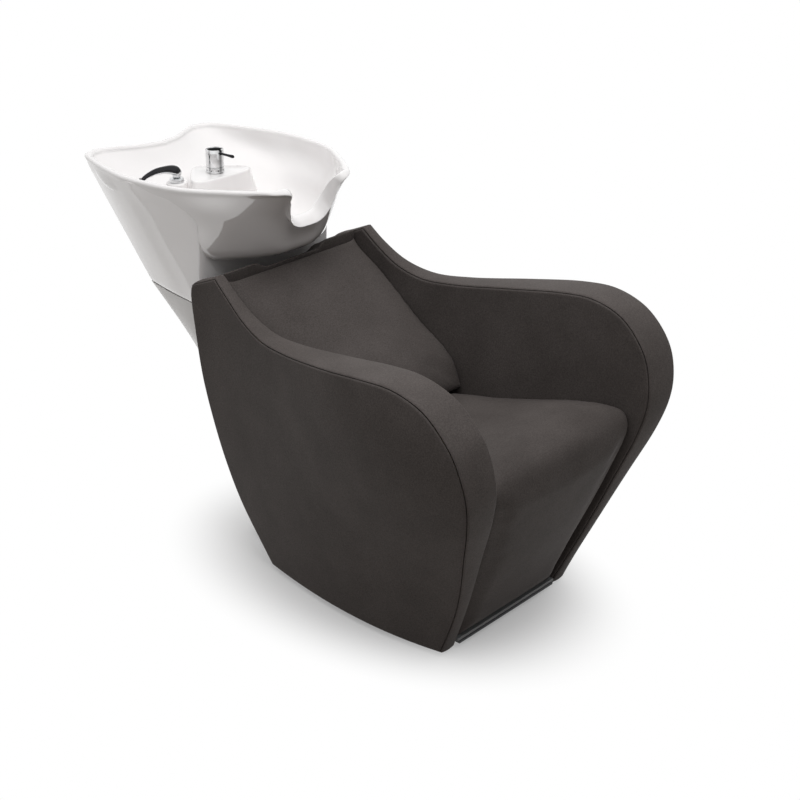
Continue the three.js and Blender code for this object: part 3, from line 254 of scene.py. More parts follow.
def newMaterial(name):
    material = bpy.data.materials.new(name)
    material.use_nodes = True
    tree = material.node_tree
    return material, tree, tree.nodes["Principled BSDF"], tree.nodes.new("ShaderNodeTexCoord")


def noiseOn(tree, coords, scale, detail=4, roughness=0.5, stretch=(1, 1, 1)):
    mapping = addNode(tree, "Mapping", {"Vector": coords.outputs["Object"], "Scale": stretch})
    noise = addNode(tree, "TexNoise", {
        "Vector": mapping.outputs["Vector"], "Scale": scale, "Detail": detail, "Roughness": roughness,
    })
    return noise.outputs["Fac"]


def stopsOn(tree, source, stops):
    # A ramp through places from 0 to 1 and their colours
    ramp = addNode(tree, "ValToRGB", {"Fac": source})
    elements = ramp.color_ramp.elements
    while len(elements) < len(stops):
        elements.new(0.5)
    for element, (position, colour) in zip(elements, stops):
        element.position = position
        element.color = (*colour, 1)
    return ramp.outputs["Color"]


def rampOn(tree, source, low, high, start=0.3, end=0.7):
    return stopsOn(tree, source, [(start, low), (end, high)])


def rangeOn(tree, source, low, high):
    return addNode(tree, "MapRange", {"Value": source, "To Min": low, "To Max": high}).outputs["Result"]


def bumpOn(tree, source, strength, distance, before=None):
    inputs = {"Height": source, "Strength": strength, "Distance": distance}
    if before:
        inputs["Normal"] = before
    return addNode(tree, "Bump", inputs).outputs["Normal"]


def mathOn(tree, operation, first, second):
    return addNode(tree, "Math", {0: first, 1: second}, operation=operation).outputs["Value"]


def multiplied(tree, first, second):
    return addNode(tree, "VectorMath", {0: first, 1: second}, operation="MULTIPLY").outputs["Vector"]


leatherLook = {
    "dark": (0.064, 0.0556, 0.0522),
    "light": (0.082, 0.0717, 0.0678),
    "patchScale": 9,
    "fleck": (0.32, 1.75),
    "fleckScale": 330,
    "grainScale": 620,
    "grainDepth": 0.00022,
    "creaseScale": 95,
    "roughness": (0.55, 0.68),
    "sheen": 0.03,
    "mirror": 0.08,
}


def leatherMaterial(name, look, lift=1.0):
    material, tree, shader, coords = newMaterial(name)
    tones = [[channel * lift for channel in look[tone]] for tone in ("dark", "light")]
    colour = rampOn(tree, noiseOn(tree, coords, look["patchScale"], 3), *tones)
    flecks = rangeOn(tree, noiseOn(tree, coords, look["fleckScale"], 3, 0.7), *look["fleck"])
    creases = noiseOn(tree, coords, look["creaseScale"], 6, 0.62)
    creased = bumpOn(tree, creases, 0.35, look["grainDepth"] * 2)
    grain = addNode(tree, "TexVoronoi", {
        "Vector": coords.outputs["Object"], "Scale": look["grainScale"],
    }, feature="SMOOTH_F1")
    feed(tree, shader, {
        "Base Color": multiplied(tree, colour, flecks),
        "Normal": bumpOn(tree, grain.outputs["Distance"], 0.55, look["grainDepth"], creased),
        "Roughness": rangeOn(tree, creases, *look["roughness"]),
        "Sheen Weight": look["sheen"],
        "Sheen Roughness": 0.45,
        "Specular IOR Level": look["mirror"],
    })
    return material


ceramicLook = {
    "white": (0.93, 0.908, 0.903),
    "shade": (0.9, 0.878, 0.873),
    # The bowl's two tones are darker than the rest of the glaze: painted shade for the bowl's inside, which
    # the top lamp lights too brightly
    "bowlPaintedShadeLight": (0.9, 0.877, 0.873),
    "bowlPaintedShadeDark": (0.87, 0.848, 0.844),
    "roughness": (0.06, 0.1),
    "waveDepth": 0.0009,
    "speckDepth": 0.00005,
    "coat": 1.0,
    "coatBend": 1.9,  # how strongly the glaze mirrors its surroundings
}


def ceramicMaterial(name, look, shade, white):
    material, tree, shader, coords = newMaterial(name)
    specks = noiseOn(tree, coords, 240, 2)
    waves = bumpOn(tree, noiseOn(tree, coords, 14, 1), 0.12, look["waveDepth"])
    feed(tree, shader, {
        "Base Color": rampOn(tree, noiseOn(tree, coords, 5, 2), look[shade], look[white]),
        "Normal": bumpOn(tree, specks, 0.05, look["speckDepth"], waves),
        "Roughness": rangeOn(tree, specks, *look["roughness"]),
        "Coat Weight": look["coat"],
        "Coat Roughness": 0.03,
        "Coat IOR": look["coatBend"],
    })
    return material


# Painted reflections for the mixer's chrome: bright and dark steps in its colour round its axis, standing in
# for what it mirrors
mixerPaintedReflections = {
    "axis": (0, 419.97),
    "steps": [
        (0, 0.9), (0.035, 0.55), (0.06, 0.96), (0.13, 1), (0.19, 0.8), (0.235, 0.3),
        (0.265, 0.5), (0.3, 0.95), (0.36, 0.75), (0.42, 0.3), (0.5, 0.9), (0.6, 0.45),
        (0.7, 0.95), (0.8, 0.8), (0.868, 0.2), (0.9, 0.6), (0.93, 0.98), (1, 0.9),
    ],
}


def paintedReflectionsOn(tree, coords, look):
    # Painted reflections: bright and dark bands in the colour, running down a cylinder standing on the axis
    centred = addNode(tree, "Mapping", {
        "Vector": coords.outputs["Object"], "Location": -place(*look["axis"], 0),
    })
    around = addNode(tree, "TexGradient", {"Vector": centred.outputs["Vector"]}, gradient_type="RADIAL")
    return stopsOn(tree, around.outputs["Fac"], [(at, (shade,) * 3) for at, shade in look["steps"]])


def surfaced(tree, shader, colour, grain, strength, depth, roughness, metallic=0.0):
    feed(tree, shader, {
        "Base Color": colour,
        "Normal": bumpOn(tree, grain, strength, depth),
        "Roughness": rangeOn(tree, grain, *roughness),
        "Metallic": metallic,
    })


def metalMaterial(name, low, high, roughness, scratch=0.03, reflectionBands=None):
    material, tree, shader, coords = newMaterial(name)
    colour = rampOn(tree, noiseOn(tree, coords, 22, 3), low, high)
    # Where given, painted reflection bands are multiplied into the colour
    if reflectionBands:
        colour = multiplied(tree, colour, paintedReflectionsOn(tree, coords, reflectionBands))
    lines = noiseOn(tree, coords, 60, 5, 0.6, (1, 1, 14))
    surfaced(tree, shader, colour, lines, scratch, 0.00006, roughness, 1)
    return material


def plainMaterial(name, low, high, roughness, grainScale, depth, metallic=0.0):
    material, tree, shader, coords = newMaterial(name)
    colour = rampOn(tree, noiseOn(tree, coords, 18, 4), low, high)
    surfaced(tree, shader, colour, noiseOn(tree, coords, grainScale, 3), 0.4, depth, roughness, metallic)
    return material


def plywoodMaterial(name):
    material, tree, shader, coords = newMaterial(name)
    grain = noiseOn(tree, coords, 16, 6, 0.6, (1, 7, 7))
    colour = rampOn(tree, grain, (0.36, 0.24, 0.13), (0.56, 0.41, 0.25))
    surfaced(tree, shader, colour, grain, 0.3, 0.0004, (0.6, 0.8))
    return material


def braidMaterial(name):
    # Two sets of slanting strands, crossed
    material, tree, shader, coords = newMaterial(name)
    strands = []
    for tilt in (0.9, -0.9):
        slanted = addNode(tree, "Mapping", {
            "Vector": coords.outputs["Object"], "Rotation": (tilt, tilt, 0),
        })
        strand = addNode(tree, "TexWave", {"Vector": slanted.outputs["Vector"], "Scale": 170})
        strands.append(strand.outputs["Fac"])
    weave = mathOn(tree, "MULTIPLY", *strands)
    colour = rampOn(tree, weave, (0.16, 0.165, 0.17), (0.62, 0.63, 0.64), 0.05, 0.6)
    surfaced(tree, shader, colour, weave, 0.5, 0.0004, (0.45, 0.22), 1)
    return material


finishes = {
    "leatherette": leatherMaterial("leatherette", leatherLook),
    "leatherette_band": leatherMaterial("leatheretteBand", leatherLook, 1.12),
    "ceramic": ceramicMaterial("glazedCeramic", ceramicLook, "shade", "white"),
    # The bowl, its platform and the shower boss get a darker copy of the glaze, with painted shade
    "bowlCeramicPaintedShade": ceramicMaterial("glazedBowlPaintedShade", ceramicLook, "bowlPaintedShadeDark", "bowlPaintedShadeLight"),
    "plywood": plywoodMaterial("plywood"),
    "braid": braidMaterial("braidedSteel"),
}
# Dark and light colour, roughness, then how deep the scratches are and the painted reflection bands if there
# are any
metals = {
    # The mixer's chrome has painted reflection bands multiplied into its colour
    "mixerChromePaintedReflections": ("mixerChromePaintedReflections", (0.74, 0.745, 0.75), (0.84, 0.845, 0.85), (0.03, 0.08), 0.03, mixerPaintedReflections),
    "chrome": ("polishedChrome", (0.62, 0.63, 0.64), (0.78, 0.79, 0.8), (0.03, 0.09)),
    "dark_chrome": ("darkChrome", (0.018, 0.018, 0.02), (0.04, 0.04, 0.043), (0.06, 0.12)),
    "zinc_steel": ("zincSteel", (0.4, 0.41, 0.42), (0.56, 0.57, 0.58), (0.25, 0.42), 0.2),
    "brass": ("brass", (0.42, 0.31, 0.13), (0.56, 0.43, 0.2), (0.2, 0.34), 0.1),
}
# Dark and light colour, roughness, then the grain's scale and depth
plains = {
    "cover_white": ("coverWhite", (0.8, 0.795, 0.785), (0.85, 0.845, 0.84), (0.16, 0.24), 160, 0.0001),
    "painted_steel": (
        "paintedSteel", (0.022, 0.022, 0.024), (0.034, 0.034, 0.036), (0.4, 0.5), 420, 0.0002, 0.2,
    ),
    "rubber": ("blackRubber", (0.012, 0.012, 0.012), (0.022, 0.022, 0.021), (0.8, 0.92), 300, 0.0003),
    "grey_plastic": ("greyPlastic", (0.23, 0.235, 0.24), (0.29, 0.295, 0.3), (0.42, 0.55), 380, 0.0002),
    "black_plastic": ("blackPlastic", (0.013, 0.013, 0.014), (0.022, 0.022, 0.023), (0.38, 0.5), 360, 0.0002),
}
for finishName, values in metals.items():
    finishes[finishName] = metalMaterial(*values)
for finishName, values in plains.items():
    finishes[finishName] = plainMaterial(*values)

slotOf = {entry["node"]: entry["material_slot"] for entry in frame["record"]["subparts"]}
braided = ["hot_supply", "cold_supply", "hot_hose", "cold_hose", "shower_hose", "shower_hose_stub"]
for nodeName, node in nodes.items():
    node.data.materials.clear()
    node.data.materials.append(finishes["braid" if nodeName in braided else slotOf[nodeName]])
print("materials made")


def dressed(piece, slot, body, *replaced, finish=None, angle=40):
    piece.data.materials.clear()
    piece.data.materials.append(finishes[finish or slot])
    smoothed(piece, angle)
    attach(piece, body)
    if replaced:
        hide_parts(*replaced)


def upholstered(piece, node, slot="leatherette", angle=60):
    dressed(piece, slot, "chair", node, angle=angle)


# Arms: shares of depth and height, as the solids have them
arm = {
    "reach": 380,
    "depth": 897,
    "height": 711,
    "frontY": -651,
    "stations": (170, 18, 70),  # top and front line, floor line, back line
    "lobe": 4.2,  # radius that the cover rolls into the seam with
    "seam": 1.0,
    "tuck": 1.6,  # how far past its roll the cover runs into the seam
    "lobeTurns": (0, 14, 28, 42, 56, 68),
    "bandCrown": 1.4,
    "hidden": 13.4,
    "faceSteps": (0.1, 0.22, 0.34, 0.46, 0.57, 0.67, 0.76, 0.84, 0.9, 0.95, 0.98),  # centre to edge
    "backSteps": (0.8, 0.4, 0.1),
    "bandSteps": (0.1, 0.22, 0.36, 0.5, 0.64, 0.78, 0.9),
}
armTopShares = [
    (0.897, 1), (0.849, 0.952), (0.784, 0.902), (0.701, 0.874), (0.6, 0.879), (0.431, 0.91),
    (0.285, 0.938), (0.202, 0.944), (0.14, 0.929), (0.095, 0.903), (0.052, 0.855), (0.02, 0.796),
    (0.001, 0.71), (0.001, 0.64), (0.018, 0.55), (0.06, 0.409), (0.12, 0.211), (0.192, 0),
]
armBackShares = [
    (0.793, 0), (0.832, 0.08), (0.892, 0.207), (0.933, 0.34), (0.964, 0.478), (0.988, 0.626),
    (0.997, 0.793), (0.998, 0.915), (0.991, 0.945), (0.978, 0.958), (0.95, 0.972), (0.897, 1),
]
outerReachShares = [
    (0.861, 0.953, 0.774, 0.674),
    (0.942, 0.95, 0.776, 0.625),
    (0.671, 0.779, 0.7, 0.552),
    (0.447, 0.634, 0.587, 0.403),
]
innerReachShares = [
    (0.756, 0.714, 0.535),
    (0.637, 0.545, 0.43),
    (0.466, 0.41, 0.29),
]
armCentreShare = (0.56, 0.49)


def armPoint(share):
    return (arm["frontY"] + share[0] * arm["depth"], share[1] * arm["height"])


def armPoints(shares):
    return [armPoint(share) for share in shares]


def throughValues(values, share):
    last = len(values) - 1
    total = 0
    for i, value in enumerate(values):
        weight = 1
        for k in range(len(values)):
            if k != i:
                weight = weight * (share * last - k) / (i - k)
        total = total + value * weight
    return total


def reachOf(grid, y, z):
    rows = [throughValues(row, (y - arm["frontY"]) / arm["depth"]) for row in grid]
    return arm["reach"] * throughValues(rows, 1 - z / arm["height"])


def innerX(y, z):
    return reachOf(innerReachShares, y, z)


def outerX(y, z):
    return reachOf(outerReachShares, y, z)


def armOutlineOf(a):
    topCount, floorCount, backCount = a["stations"]
    top = curveThrough(armPoints(armTopShares), topCount)
    back = curveThrough(armPoints(armBackShares), backCount)
    floorShares = np.linspace(armTopShares[-1][0], armBackShares[0][0], floorCount + 2)[1:-1]
    floor = [armPoint((share, 0)) for share in floorShares]
    return np.vstack([top, floor, back[:-1]])


armOutline = armOutlineOf(arm)
insets = {}


def inset(distance):
    if distance not in insets:
        insets[distance] = offsetLine(armOutline, distance, True)
    return insets[distance]


def seamSteps(a):
    # How far in from the edge, and how deep, a cover runs as it rolls into the seam
    steps = []
    start = a["tuck"] * a["lobe"] + a["seam"]
    for turn in a["lobeTurns"]:
        angle = math.radians(turn)
        steps.append((start - a["lobe"] * math.sin(angle), a["lobe"] * (1 - math.cos(angle))))
    steps.append((a["lobe"] + a["tuck"] + a["seam"], a["lobe"] + a["tuck"]))
    steps.append((a["hidden"] + a["seam"], a["hidden"]))
    return steps


def armFacePad(name, side, reach, inward):
    # inward is the way into the arm's thickness, along X
    centre = np.array(armPoint(armCentreShare))
    steps = seamSteps(arm)
    rings = []
    edge = inset(steps[0][0])

    def ringOn(line, depth):
        return [place(side * (reach(y, z) + inward * depth), y, z) for y, z in line]

    for share in arm["faceSteps"]:
        rings.append(ringOn(centre + (edge - centre) * share, 0))
    for distance, depth in steps:
        rings.append(ringOn(inset(distance), depth))
    back = inset(steps[-1][0])
    for share in arm["backSteps"]:
        rings.append(ringOn(centre + (back - centre) * share, arm["hidden"]))
    return pulled(name, rings)


def armBandPiece(name, side):
    steps = seamSteps(arm)
    deepToFace = [(depth, distance) for distance, depth in reversed(steps)]
    count = len(armOutline)
    rings = []
    for i in range(count + 1):
        k = i % count
        ring = []
        for depth, along in deepToFace:
            y, z = inset(depth)[k]
            ring.append(place(side * (innerX(y, z) + along), y, z))
        y, z = armOutline[k]
        low, high = innerX(y, z) + steps[0][0], outerX(y, z) - steps[0][0]
        for share in arm["bandSteps"]:
            lift = -arm["bandCrown"] * 4 * share * (1 - share)
            y, z = inset(round(lift, 4))[k]
            ring.append(place(side * (low + (high - low) * share), y, z))
        for depth, along in reversed(deepToFace):
            y, z = inset(depth)[k]
            ring.append(place(side * (outerX(y, z) - along), y, z))
        rings.append(ring)
    return pulled(name, rings, filled=False)


for sideName, side in (("left", 1), ("right", -1)):
    outer = armFacePad(f"{sideName}ArmOuterCover", side, outerX, -1)
    inner = armFacePad(f"{sideName}ArmInnerCover", side, innerX, 1)
    band = armBandPiece(f"{sideName}ArmBandCover", side)
    upholstered(outer, f"{sideName}_arm_outer_pad")
    upholstered(inner, f"{sideName}_arm_inner_pad")
    upholstered(band, f"{sideName}_arm_band", "leatherette_band")
print("arms covered")


# Seat and back cushions
cushion = {
    "sideGap": 2,
    "railGap": 0.4,
    "seatThick": 52,
    "backThick": 46,
    "crown": 7,
    "seatFade": 0.2,  # share of the run over which the crown grows from each end
    "backFade": 0.25,
    "seatSteps": (150, 60),  # stations on the shown and on the hidden side
    "backSteps": (90, 40),
    "sideRoll": 16,  # radius of the rolled side edges
    "voxel": 6,
    "softRounds": 4,
    "pressure": 4,
    "facing": 0.2,  # what faces up or forward by more than this shows, and swells
    "frames": 20,
    "seatLimit": 5,  # how far the cover may swell
    "backLimit": 3.5,
    "smoothing": (0.5, 24),
    "columns": 44,
    "crowding": 0.4,  # how much closer the columns stand at the sides
}
rail = {
    "voxel": 4,
    "rounds": 18,
    "recess": ((150, 112), (118, 84)),  # half widths in the solid and here, where it is narrower
}
seatRunShares = [
    (0.558, 0.539), (0.52, 0.549), (0.415, 0.569), (0.299, 0.602), (0.187, 0.635), (0.106, 0.65),
    (0.068, 0.65), (0.046, 0.64), (0.033, 0.621), (0.028, 0.6), (0.031, 0.556), (0.05, 0.48),
    (0.091, 0.335), (0.133, 0.205), (0.168, 0.087), (0.1855, 0.024),
]
backRunShares = [
    (0.9115, 0.984), (0.907, 0.968), (0.896, 0.951), (0.825, 0.889), (0.751, 0.818),
    (0.676, 0.747), (0.608, 0.695), (0.555, 0.639), (0.533, 0.595), (0.519, 0.556),
]
railFootShare = (0.915, 0.9)
rearRunShares = [
    (0.969, 0.87), (0.966, 0.793), (0.957, 0.626), (0.933, 0.478), (0.902, 0.34), (0.861, 0.207),
    (0.801, 0.08), (0.775, 0.018),
]


def halfAtSide(y, z):
    return innerX(y, z) - cushion["sideGap"]


def movedWith(run, distances):
    # Each point of the run moved square to it by its own distance
    p = np.array(run, float)
    along = unitRows(np.gradient(p, axis=0))
    return np.stack([p[:, 0] - along[:, 1] * distances, p[:, 1] + along[:, 0] * distances], axis=1)


def padAcross(name, run, hidden, crown, fade, roll, face=1):
    # Side lines of the piece, one beside the other, at columns across the chair
    half = len(run)
    even = np.linspace(-1, 1, cushion["columns"])
    columns = (1 - cushion["crowding"]) * even + cushion["crowding"] * np.sin(even * math.pi / 2)
    along = np.linspace(0, 1, half)
    swell = np.array([smoothStep(min(a, 1 - a) / fade) for a in along])
    widths = np.array([halfAtSide(y, z) for y, z in run])
    rings = []
    for share in columns:
        fromSide = np.minimum(widths * (1 - abs(share)), roll)
        dip = roll - np.sqrt(np.maximum(0, roll ** 2 - (roll - fromSide) ** 2))
        lift = crown * swell * (1 - share * share) - dip
        moved = movedWith(run, -lift * face)
        ring = [place(share * width, y, z) for width, (y, z) in zip(widths, moved)]
        ring += [place(share * halfAtSide(y, z), y, z) for y, z in reversed(hidden)]
        rings.append(ring)
    return pulled(name, rings)


def smoothedOut(piece, factor, rounds, group=""):
    pick(piece)
    bpy.ops.object.modifier_add(type="SMOOTH")
    piece.modifiers[-1].factor = factor
    piece.modifiers[-1].iterations = rounds
    piece.modifiers[-1].vertex_group = group
    finishModifiers(piece)


def remeshed(piece, voxel, rounds):
    pick(piece)
    bpy.ops.object.modifier_add(type="REMESH")
    piece.modifiers[-1].mode = "VOXEL"
    piece.modifiers[-1].voxel_size = voxel * unit["scale"]
    finishModifiers(piece)
    smoothedOut(piece, 0.6, rounds)


def stuffed(piece, c, limit):
    # The cover swells under pressure, held along its sides and its hidden face
    remeshed(piece, c["voxel"], c["softRounds"])
    held = piece.vertex_groups.new(name="held")
    shown = [v.normal.z > c["facing"] or v.normal.y < -c["facing"] for v in piece.data.vertices]
    held.add([i for i, seen in enumerate(shown) if not seen], 1.0, "REPLACE")
    rest = np.array([v.co[:] for v in piece.data.vertices])
    pick(piece)
    bpy.ops.object.modifier_add(type="CLOTH")
    cloth = piece.modifiers[-1]
    cloth.settings.quality = 4
    cloth.settings.use_pressure = True
    cloth.settings.uniform_pressure_force = c["pressure"]
    cloth.settings.effector_weights.gravity = 0
    cloth.settings.vertex_group_mass = "held"
    cloth.collision_settings.use_collision = False
    cloth.point_cache.frame_start = 1
    cloth.point_cache.frame_end = c["frames"]
    for step in range(c["frames"]):
        scene.frame_set(step + 1)
    finishModifiers(piece)
    scene.frame_set(1)
    cap = limit * unit["scale"]
    for vert, start in zip(piece.data.vertices, rest):
        move = vert.co - Vector(start)
        if move.length > cap:
            move *= cap / move.length
        vert.co = Vector(start) + move
    free = piece.vertex_groups.new(name="shown")
    free.add([i for i, seen in enumerate(shown) if seen], 1.0, "REPLACE")
    smoothedOut(piece, *c["smoothing"], "shown")
    piece.vertex_groups.clear()


seatRun = armPoints(seatRunShares)
seatCorner = (seatRun[9][0] + cushion["seatThick"], seatRun[5][1] - cushion["seatThick"])
seatUnder = [
    (seatRun[0][0], seatRun[0][1] - cushion["seatThick"]),
    seatCorner,
    (seatRun[-1][0] + cushion["seatThick"], seatRun[-1][1]),
]
shownCount, hiddenCount = cushion["seatSteps"]
seat = padAcross(
    "seatCushionCover", curveThrough(seatRun, shownCount), spacedOut(seatUnder, hiddenCount),
    cushion["crown"], cushion["seatFade"], cushion["sideRoll"],
)
stuffed(seat, cushion, cushion["seatLimit"])
upholstered(seat, "seat_cushion", angle=70)
print("seat cushion stuffed")

backRun = armPoints(backRunShares)
railFoot = armPoint(railFootShare)
backUnder = [
    (backRun[0][0] + cushion["railGap"], railFoot[1] - cushion["railGap"]),
    (backRun[-1][0] + cushion["backThick"], backRun[-1][1] - cushion["backThick"] / 4),
]
shownCount, hiddenCount = cushion["backSteps"]
back = padAcross(
    "backCushionCover", curveThrough(backRun, shownCount), spacedOut(backUnder, hiddenCount),
    cushion["crown"], cushion["backFade"], cushion["sideRoll"],
)
stuffed(back, cushion, cushion["backLimit"])
upholstered(back, "back_cushion", angle=70)
print("back cushion stuffed")

railPiece = copyOf("top_rail", "topRailCover")
for vert in railPiece.data.vertices:
    for drawn, shown in rail["recess"]:
        if abs(abs(vert.co.x) - drawn * unit["scale"]) < 0.001:
            vert.co.x *= shown / drawn
remeshed(railPiece, rail["voxel"], rail["rounds"])
upholstered(railPiece, "top_rail", angle=70)

rearPanel = {"thick": 15, "crown": 3, "fade": 0.15, "roll": 7, "steps": 70}
rearRun = curveThrough(armPoints(rearRunShares), rearPanel["steps"])
rear = padAcross(
    "rearPanelCover", rearRun, offsetLine(rearRun, -rearPanel["thick"], False),
    rearPanel["crown"], rearPanel["fade"], rearPanel["roll"], face=-1,
)
upholstered(rear, "rear_panel", angle=50)
print("rail and rear panel covered")


# Basin: half sections as shares of its half width and depth
basin = {
    "half": 254,
    "depth": 581,
    "frontY": 87,
    "rim": 886,
    "bottomOut": 701,
    "floor": 717,
    "centreY": 380,
    "drain": (0, 305),
    "drainHole": 24,
    "stations": 250,
    "rimBead": 8.2,
    "notchBead": 13.5,
    "rimSwell": 0.5,
    "notchSwell": 0.6,
    "innerSwell": 0.25,
    "outerTop": (874, 5),  # each wall's top level, and how far it lies outside the rim's line there
    "innerTop": (880, -8),
    "rimStart": 5,  # before this rim point the notch's line is followed
    "notchBack": 200,  # the notch lies in front of this
    "notchHeight": 872,  # the walls are measured no higher than this for the notch's line
    "beadEnd": (84, 34),  # half width where the notch's thicker bead starts to thin, and over how much
    "leanBelow": 870,  # below this level the bead may lean over towards the notch
    "beadFoot": (9, 7),  # how far down the bead begins, and how much further in the notch
    "lipOut": 17,  # how far the notch's rolled lip stands out, and how far it droops
    "lipDroop": 15,
    "lipEnd": (76, 70),  # where the lip starts to fade, and over how much
    "lipTop": (876, 60, 0.35),  # it grows downward from this level, over this much, from this share
    "rings": (20, 18, 22),  # on the outer wall, the bead and the inner wall
    "bodyStep": 3,
    "bodyRise": 40,  # how far the body that cuts the skirt stands over the rim
    "crowding": 1.3,  # rings lie closer together near the rim
    "evening": 1.4,  # how soon the lines spread evenly along a wall
}
rimShares = [
    (0, -0.01), (0.2, -0.008), (0.35, 0.002), (0.433, 0.022), (0.528, 0.065), (0.642, 0.122),
    (0.74, 0.186), (0.839, 0.251), (0.921, 0.324), (0.972, 0.411), (0.996, 0.515), (1, 0.614),
    (0.961, 0.711), (0.906, 0.807), (0.839, 0.895), (0.78, 0.957), (0.724, 0.986), (0.598, 1),
    (0.469, 0.978), (0.224, 0.921), (0, 0.898),
]
bowlOutShares = [
    (0.25, [(0, 0.024), (0.22, 0.026), (0.37, 0.036), (0.57, 0.1), (0.75, 0.176), (0.87, 0.262),
            (0.95, 0.42), (0.97, 0.61), (0.9, 0.8), (0.68, 0.9), (0, 0.85)]),
    (0.46, [(0, 0.06), (0.24, 0.063), (0.4, 0.08), (0.59, 0.136), (0.74, 0.203), (0.815, 0.272),
            (0.86, 0.42), (0.83, 0.58), (0.65, 0.685), (0.36, 0.705), (0, 0.7)]),
    (0.73, [(0, 0.084), (0.2, 0.087), (0.36, 0.107), (0.54, 0.158), (0.7, 0.222), (0.8, 0.277),
            (0.79, 0.41), (0.72, 0.53), (0.53, 0.61), (0.29, 0.625), (0, 0.625)]),
    (0.9, [(0, 0.105), (0.18, 0.108), (0.33, 0.131), (0.49, 0.172), (0.63, 0.222), (0.74, 0.28),
           (0.72, 0.4), (0.61, 0.5), (0.43, 0.56), (0.24, 0.575), (0, 0.575)]),
    (0.978, [(0, 0.146), (0.16, 0.15), (0.3, 0.17), (0.43, 0.205), (0.54, 0.243), (0.62, 0.284),
             (0.61, 0.38), (0.53, 0.46), (0.37, 0.515), (0.21, 0.53), (0, 0.53)]),
]
bowlInShares = [
    (0.25, [(0, 0.055), (0.24, 0.056), (0.39, 0.07), (0.57, 0.129), (0.72, 0.198), (0.83, 0.28),
            (0.91, 0.42), (0.93, 0.61), (0.86, 0.77), (0.66, 0.86), (0, 0.81)]),
    (0.5, [(0, 0.09), (0.22, 0.093), (0.37, 0.108), (0.54, 0.158), (0.68, 0.216), (0.76, 0.28),
           (0.8, 0.42), (0.76, 0.55), (0.59, 0.64), (0.31, 0.665), (0, 0.66)]),
    (0.73, [(0, 0.112), (0.19, 0.115), (0.34, 0.13), (0.49, 0.172), (0.62, 0.226), (0.7, 0.29),
            (0.71, 0.41), (0.63, 0.5), (0.43, 0.57), (0.24, 0.585), (0, 0.585)]),
    (0.9, [(0, 0.13), (0.16, 0.134), (0.3, 0.16), (0.41, 0.205), (0.51, 0.253), (0.55, 0.31),
           (0.55, 0.4), (0.47, 0.47), (0.31, 0.52), (0.18, 0.535), (0, 0.535)]),
]
# Half of the notch's line from its middle out to the rim: across, and down from the rim
notchLine = [
    (0, 98.5), (24, 97.3), (45, 90), (60, 73), (69, 50), (76, 29), (85, 14), (100, 8.8), (118, 8.2),
]


def mirrored(half):
    # A ring from half of it, which starts and ends on the middle line
    return [*half, *[(-x, *rest) for x, *rest in reversed(half[1:-1])]]


def basinPoints(shares):
    return [(h * basin["half"], basin["frontY"] + d * basin["depth"]) for h, d in shares]


def movedOut(points, distance):
    p = np.array(points, float)
    return p + unitRows(p - np.array([0, basin["centreY"]])) * distance


def wallGrid(levels, hole, holeZ, count=240):
    # A wall of the bowl as curves from its top level down to the drain, one for each place along the half
    stack = [np.column_stack([curveThrough(points, count), np.full(count, z)]) for z, points in levels]
    turn = np.linspace(-math.pi / 2, math.pi / 2, count)
    drainX, drainY = basin["drain"]
    ring = [hole * np.cos(turn) + drainX, hole * np.sin(turn) + drainY, np.full(count, holeZ)]
    stack.append(np.column_stack(ring))
    stack = np.array(stack)
    return np.array([curveThrough(stack[:, i], 90) for i in range(count)])


def levelsOf(top, bottom, shares):
    topZ, outward = top
    levels = [(topZ, movedOut(basinPoints(rimShares), outward))]
    for down, row in shares:
        levels.append((basin["rim"] - down * (basin["rim"] - bottom), basinPoints(row)))
    return levels


outerLevels = levelsOf(basin["outerTop"], basin["bottomOut"], bowlOutShares)
innerLevels = levelsOf(basin["innerTop"], basin["floor"], bowlInShares)
outerWall = wallGrid(outerLevels, basin["drainHole"], basin["bottomOut"])
innerWall = wallGrid(innerLevels, basin["drainHole"], basin["floor"])


def onWall(wall, across, down):
    # across and down run from 0 to 1 over the grid
    i = min(max(across, 0), 1) * (wall.shape[0] - 1)
    k = min(max(down, 0), 1) * (wall.shape[1] - 1)
    a, b = int(i), int(k)
    c, d = min(a + 1, wall.shape[0] - 1), min(b + 1, wall.shape[1] - 1)
    s, t = i - a, k - b
    return (wall[a, b] * (1 - s) + wall[c, b] * s) * (1 - t) + (wall[a, d] * (1 - s) + wall[c, d] * s) * t


def nearestOn(wall, target):
    # Where on the wall a point lies: the same height, and the nearest place along it
    rows = np.array([np.interp(-target[2], -line[:, 2], np.arange(len(line))) for line in wall])
    low = rows.astype(int).clip(0, wall.shape[1] - 2)
    part = (rows - low)[:, None]
    index = np.arange(wall.shape[0])
    points = wall[index, low] * (1 - part) + wall[index, low + 1] * part
    best = int(np.argmin(np.linalg.norm(points[:, :2] - target[:2], axis=1)))
    return best / (wall.shape[0] - 1), rows[best] / (wall.shape[1] - 1)


def topLine():
    # The middle of the rim's bead, from the notch's middle round to the back's middle
    points = []
    for x, down in notchLine:
        z = basin["rim"] - down
        target = np.array([x, basin["frontY"], min(z, basin["notchHeight"])])
        outside, inside = [onWall(wall, *nearestOn(wall, target)) for wall in (outerWall, innerWall)]
        points.append((x, (outside[1] + inside[1]) / 2, z))
    for x, y in basinPoints(rimShares)[basin["rimStart"]:]:
        points.append((x, y, basin["rim"] - basin["rimBead"]))
    return curveThrough(points, basin["stations"] // 2 + 1)


def fadedAfter(half, limits):
    start, width = limits
    return 1 - smoothStep((half - start) / width)


